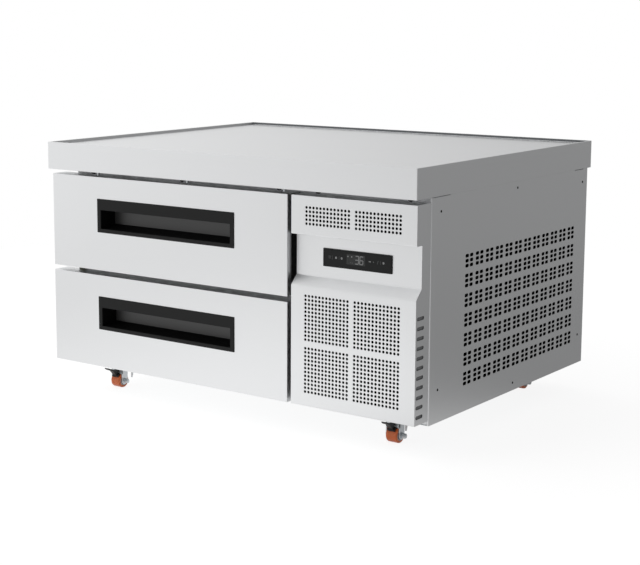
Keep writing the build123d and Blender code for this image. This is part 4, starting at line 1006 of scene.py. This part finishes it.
def makeFork(corner):
    c = metres(casterShape)
    node = "caster_fork_" + corner
    low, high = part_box(node)
    wheel = middleOf("caster_wheel_" + corner)
    swivelY, outside = wheel.y + c["trail"], (high.x - low.x) / 2
    sheet, half = c["sheet"], c["legWidth"] / 2
    front, crown = wheel.y - half, high.z - sheet
    turns = [math.radians(angle) for angle in range(180, 361, 18)]
    foot = [(wheel.y + half * math.cos(turn), wheel.z + c["footDrop"] * math.sin(turn)) for turn in turns]
    leg = [(front, crown)] + foot + [(wheel.y + half, c["legStraight"]), (swivelY + c["legReach"], crown)]
    bm = bmesh.new()
    # Legs with a round foot, straight beside the wheel and wider towards the crown
    for side in (-1, 1):
        x = wheel.x + side * (outside - sheet / 2)
        addPrism(bm, leg, x - sheet / 2, x + sheet / 2, onSide)
    # Crown with a rounded nose
    plate = (wheel.x - outside, front), (wheel.x + outside, swivelY + c["crownReach"])
    corners = c["crownCorner"]
    addLoops(bm, stackedLoops(((plate, corners, crown), (plate, corners, high.z)), onTop))
    # Lip turned down from its front on both sides of the pedal's lug
    for side in (-1, 1):
        near, far = sorted((wheel.x + side * c["lipGap"], wheel.x + side * outside))
        addBox(bm, (near, front, crown - c["lipDrop"]), (far, front + sheet, crown))
    tail = [(swivelY + u, v) for u, v in c["tail"]]
    addPrism(bm, tail, wheel.x - c["tailWidth"] / 2, wheel.x + c["tailWidth"] / 2, onSide)
    swivelBody = "swivel_" + corner
    makePiece("fork_" + corner, bm, "zincPlate", swivelBody, [node], bevel=c["forkBevel"])

    # Axle between washers, with a round head and a tall hexagon nut
    bm = bmesh.new()
    washer, nut, boltEnd = c["washer"], c["nut"], c["boltEnd"]
    seat = outside + c["washerSheet"]
    nutTop, boltTop = outside + c["nutHeight"], outside + c["boltReach"]
    addTurned(bm, ((c["axle"], -outside), (c["axle"], outside)), wheel, "x", 24)
    for side in (-1, 1):
        addTurned(bm, ((washer, side * outside), (washer, side * seat)), wheel, "x", 24)
    cut, slope = c["nutEdge"]
    addTurned(bm, ((nut, seat), (nut, nutTop - slope), (nut - cut, nutTop)), wheel, "x", 6)
    bolt = (boltEnd, nutTop), (boltEnd - c["boltEdge"], boltTop)
    addTurned(bm, bolt, wheel, "x", 20)
    addTurned(bm, [(r, -seat - rise) for r, rise in c["headRise"]], wheel, "x", 20)
    # The brake's pin
    if corner.startswith("front"):
        pin, reach = Vector((wheel.x, wheel.y + c["pinBehind"], c["pinHeight"])), outside + c["pinReach"]
        addTurned(bm, ((c["pin"], -reach), (c["pin"], reach)), pin, "x", 16)
    makePiece("axle_" + corner, bm, "zincPlate", swivelBody, sharp=30)


# Brake pedal from the side: distance behind the wheel's axle and height.
# The shoe's arc round the wheel, in degrees, isn't among its points.
pedalShape = {
    "plate": (
        (-21.5, 42), (-27, 43.6), (-43, 49.9), (-43.8, 49.3), (-43.3, 47.8), (-36, 43.8), (-27, 40.4),
        (-21.5, 39.4),
    ),
    "neck": ((-9, 40), (-21.6, 41), (-31, 43), (-26, 39.1), (-20.5, 33.2), (-15.5, 28.4), (-13, 27), (-9, 30)),
    "shoe": ((-9, 33), (-12.5, 32), (-16, 28.2), (-16.4, 25.6)),
    "lug": ((-11, 39.9), (-11, 34.4), (5, 34), (6, 35), (6, 40.2), (5.2, 41), (-1, 41)),
    "plateWidth": 20, "neckWidth": 10, "shoeWidth": 16.5, "lugWidth": 8, "tipWidth": 9,
    "taperFrom": 27, "taperTo": 43.5, "shoeGap": 0.6, "shoeArc": (124, 149), "bevel": 0.4,
    "ribCount": 3, "ribFrom": 28, "ribPitch": 4.5, "ribLength": 14, "ribTaper": 2.2, "ribWidth": 1.4,
    "ribRise": 0.35, "ribSunk": 1,
}


def makePedal(corner):
    p = metres(pedalShape)
    wheel = middleOf("caster_wheel_" + corner)
    clear = wheel.z + p["shoeGap"]
    arc = [math.radians(angle) for angle in range(*pedalShape["shoeArc"], 4)]
    outlines = {part: [(wheel.y + u, v) for u, v in p[part]] for part in ("plate", "neck", "shoe", "lug")}
    outlines["shoe"] += [(wheel.y + clear * math.cos(a), wheel.z + clear * math.sin(a)) for a in arc[::-1]]
    bm = bmesh.new()
    for part, outline in outlines.items():
        half = p[part + "Width"] / 2
        addPrism(bm, outline, wheel.x - half, wheel.x + half, onSide)
        if part == "plate":  # it narrows to its tip
            for vertex in bm.verts:
                along = (wheel.y - vertex.co.y - p["taperFrom"]) / (p["taperTo"] - p["taperFrom"])
                share = 1 - min(max(along, 0), 1) * (1 - p["tipWidth"] / p["plateWidth"])
                vertex.co.x = wheel.x + (vertex.co.x - wheel.x) * share
    # Ribs that stop the shoe from slipping
    (startY, startZ), (endY, endZ) = p["plate"][1:3]
    for row in range(pedalShape["ribCount"]):
        back = p["ribFrom"] + row * p["ribPitch"]
        rise = startZ + (back + startY) * (endZ - startZ) / (startY - endY)
        half, thick = (p["ribLength"] - row * p["ribTaper"]) / 2, p["ribWidth"] / 2
        low = wheel.x - half, wheel.y - back - thick, rise - p["ribSunk"]
        addBox(bm, low, (wheel.x + half, wheel.y - back + thick, rise + p["ribRise"]))
    node, pedalBody = "brake_pedal_" + corner, "brake_" + corner
    makePiece("pedal_" + corner, bm, "blackPolyamide", pedalBody, [node], bevel=p["bevel"])


# Top plates with their bolts, races and kingpins. The race is drawn up from the fork's crown.
plateShape = {
    "side": 60, "corner": 5, "sheet": 3, "edge": 0.6, "boltPitch": 42,
    "bolt": ((5.6, 0), (5.6, -0.8), (4.2, -0.8), (4.2, -3), (3.5, -3.4)),
    "raceGap": 0.3, "race": ((11.5, 0), (13, 1.5), (13, 4), (11, 6)), "raceTop": 10.5, "kingpin": 5,
}


def makeCasterPlates():
    s = metres(plateShape)
    low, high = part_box("caster_plates")
    bottom = high.z - s["sheet"]
    bm, bolts = bmesh.new(), bmesh.new()
    for corner in corners:
        wheel = middleOf("caster_wheel_" + corner)
        centre = Vector((wheel.x, wheel.y + casterShape["trail"] * mm, 0))
        half, pitch, edge = s["side"] / 2, s["boltPitch"], s["edge"]
        plate = (centre.x - half, centre.y - half), (centre.x + half, centre.y + half)
        rows = (
            (plate, s["corner"], high.z), (plate, s["corner"], bottom + edge),
            (shrink(plate, edge), s["corner"], bottom),
        )
        addLoops(bm, stackedLoops(rows, onTop))
        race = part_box("caster_fork_" + corner)[1].z + s["raceGap"]
        profile = [(radius, race + rise) for radius, rise in s["race"]] + [(s["raceTop"], bottom)]
        addTurned(bm, profile, centre, "z", 48)
        pin = s["kingpin"]
        addTurned(bm, ((pin - edge, low.z), (pin, low.z + edge), (pin, race)), centre, "z", 24)
        for x, y in grid(centre.x - pitch / 2, centre.y - pitch / 2, pitch, pitch, 2, 2):
            addTurned(bolts, s["bolt"], (x, y, bottom), "z", 12)
    makePiece("caster_plate_set", bm, "zincPlate", "cabinet", ["caster_plates"])
    makePiece("caster_bolts", bolts, "zincPlate", "cabinet")


for corner in corners:
    makeWheel(corner)
    makeFork(corner)
makePedal("front_left")
makePedal("front_right")
makeCasterPlates()
print("Casters made")


# Everything else keeps its own shape: each finish with its pieces and the rounding of their edges

plainPieces = {
    "galvanised": {
        "base_pan": 0.5, "partition_panel": 0.4, "condenser_shroud": 0.5, "condensate_pan": 0.4,
    },
    "polyurethaneFoam": {"insulation": 0.5},
    "steelAlongX": {"inner_liner": 0.4, "evaporator_housing": 0.5, "drain_tray": 0.4},
    "steelAlongY": {"upper_pan_carrier": 0.4, "lower_pan_carrier": 0.4},
    "millSteel": {"face_frame": 0.8},
    "oliveRubber": {"drawer_bumpers": 1.0},
    "zincPlate": {
        "fixed_runners": 0.4, "upper_middle_runners": 0.3, "lower_middle_runners": 0.3,
        "upper_inner_runners": 0.3, "lower_inner_runners": 0.3,
    },
    "gasketVinyl": {"upper_gasket": 1.2, "lower_gasket": 1.2},
    "coolingFins": {"evaporator_coil": 0},
    "condenserFins": {"condenser_coil": 0},
    "fanPlastic": {"evaporator_fan": 0.3},
    "powderCoat": {"condenser_fan": 0.3},
    "blackEnamel": {"evaporator_motor": 0.8, "condenser_motor": 0.8, "compressor": 1.5},
    "mountRubber": {"compressor_mounts": 1.5},
    "copper": {"filter_drier": 1.0, "refrigerant_lines": 0},
    "greyPolyamide": {"temperature_probe": 0.5},
    "blackPolyamide": {"control_box": 1.5, "cable_gland": 0.5},
}
for material, pieces in plainPieces.items():
    for node, bevel in pieces.items():
        dress(node, material, bevel * mm)
print("Inner parts dressed")


# Stage

studio = {
    "fade": (-1.2, -0.033, 0.15), "level": 0.12, "darkest": 0.292,
    "floorRadius": 2.2, "floorColour": "#F4F4F4", "floorShade": 0.3, "floorGlow": 0.86,
    "sheenAcross": (0.65, 0.76, 0.0), "sheenSpan": (-0.3, 0.55), "sheenSide": (1.0, 0.345),
    "sheenMiddle": (-0.15, -0.75, 0.0), "sheenReach": (0.2, 1.3), "sheenNear": (1.0, 0.74),
    "lampPlace": (-1.6, -2.4, 2.6), "lampAim": (0.0, 0.0, 0.25), "lampSize": 2.4, "lampPower": 18,
}


# A room that is bright on the left and dark on the right in what the steel mirrors, and white
# to the camera
def makeWorld():
    world = bpy.data.worlds.new("studio")
    world.use_nodes = True
    bpy.context.scene.world = world
    tree = world.node_tree
    tree.nodes.clear()
    place = addNode(tree, "ShaderNodeTexCoord")
    lean = addNode(
        tree, "ShaderNodeVectorMath", {"operation": "DOT_PRODUCT", 1: studio["fade"]},
        {0: place.outputs["Generated"]},
    )
    level = addNode(
        tree, "ShaderNodeMath", {"operation": "ADD", 1: studio["level"]}, {0: lean.outputs["Value"]}
    )
    held = addNode(tree, "ShaderNodeClamp", {"Min": studio["darkest"], "Max": 1.0}, {"Value": level})
    room = addNode(tree, "ShaderNodeBackground", {"Color": (1, 1, 1, 1)}, {"Strength": held})
    white = addNode(tree, "ShaderNodeBackground", {"Color": (1, 1, 1, 1), "Strength": 1.0})
    path = addNode(tree, "ShaderNodeLightPath")
    seen = addNode(
        tree, "ShaderNodeMath", {"operation": "MAXIMUM"},
        {0: path.outputs["Is Camera Ray"], 1: path.outputs["Is Transmission Ray"]},
    )
    mix = addNode(tree, "ShaderNodeMixShader", {}, {0: seen, 1: room, 2: white})
    addNode(tree, "ShaderNodeOutputWorld", {}, {"Surface": mix})


def makeFloor():
    material = bpy.data.materials.new("paperFloor")
    material.use_nodes = True
    tree = material.node_tree
    tree.nodes.clear()
    place = addNode(tree, "ShaderNodeTexCoord").outputs["Object"]
    path = addNode(tree, "ShaderNodeLightPath")
    paper = addNode(tree, "ShaderNodeBsdfDiffuse", {"Color": linear(studio["floorColour"])})

    # What the steel mirrors: paper that is lit from the left and in front
    sheens = []
    for operation, about, output, span, values in (
        ("DOT_PRODUCT", "sheenAcross", "Value", "sheenSpan", "sheenSide"),
        ("DISTANCE", "sheenMiddle", "Value", "sheenReach", "sheenNear"),
    ):
        measure = addNode(
            tree, "ShaderNodeVectorMath", {"operation": operation, 1: studio[about]}, {0: place}
        )
        (start, end), (first, last) = studio[span], studio[values]
        ranges = {"From Min": start, "From Max": end, "To Min": first, "To Max": last}
        sheens.append(addNode(tree, "ShaderNodeMapRange", ranges, {"Value": measure.outputs[output]}))
    sheen = addNode(tree, "ShaderNodeMath", {"operation": "MULTIPLY"}, {0: sheens[0], 1: sheens[1]})
    mirrored = addNode(tree, "ShaderNodeEmission", {}, {"Strength": sheen})
    unseen = addNode(
        tree, "ShaderNodeMixShader", {}, {0: path.outputs["Is Glossy Ray"], 1: paper, 2: mirrored}
    )

    # What the camera sees: nearly white paper with a faint shadow
    shade = (studio["floorShade"],) * 3 + (1.0,)
    plain = addNode(tree, "ShaderNodeBsdfDiffuse", {"Color": shade})
    glow = addNode(tree, "ShaderNodeEmission", {"Strength": studio["floorGlow"]})
    bright = addNode(tree, "ShaderNodeAddShader", {}, {0: plain, 1: glow})
    mix = addNode(tree, "ShaderNodeMixShader", {}, {0: path.outputs["Is Camera Ray"], 1: unseen, 2: bright})
    addNode(tree, "ShaderNodeOutputMaterial", {}, {"Surface": mix})
    bm = bmesh.new()
    bmesh.ops.create_circle(bm, cap_ends=True, segments=96, radius=studio["floorRadius"])
    mesh = bpy.data.meshes.new("floor")
    bm.to_mesh(mesh)
    bm.free()
    mesh.materials.append(material)
    addObject("floor", mesh)


def makeLamp():
    lamp = bpy.data.lights.new("softbox", "AREA")
    lamp.shape = "SQUARE"
    lamp.size = studio["lampSize"]
    lamp.energy = studio["lampPower"]
    holder = addObject("softbox", lamp)
    holder.location = studio["lampPlace"]
    aim = Vector(studio["lampAim"]) - Vector(studio["lampPlace"])
    holder.rotation_euler = aim.to_track_quat("-Z", "Y").to_euler()
    holder.visible_glossy = False


# The camera of the photograph, found from the straight edges of the cabinet
cameraSetup = {
    "place": (1.81088, -2.62298, 0.81807), "azimuth": 36.982, "elevation": 8.715,
    "lens": 83.07, "sensor": 36.0, "shiftX": 0.09375, "shiftY": -0.0664,
}


def makeCamera():
    c = cameraSetup
    camera = bpy.data.cameras.new("camera")
    camera.lens = c["lens"]
    camera.sensor_width = c["sensor"]
    camera.sensor_fit = "HORIZONTAL"
    camera.shift_x = c["shiftX"]
    camera.shift_y = c["shiftY"]
    camera.dof.use_dof = False
    holder = addObject("camera", camera)
    holder.location = c["place"]
    holder.rotation_euler = (math.radians(90 - c["elevation"]), 0, math.radians(c["azimuth"]))
    bpy.context.scene.camera = holder


makeWorld()
makeFloor()
makeLamp()
makeCamera()
bpy.context.scene.view_settings.view_transform = "Standard"
print("Stage set")
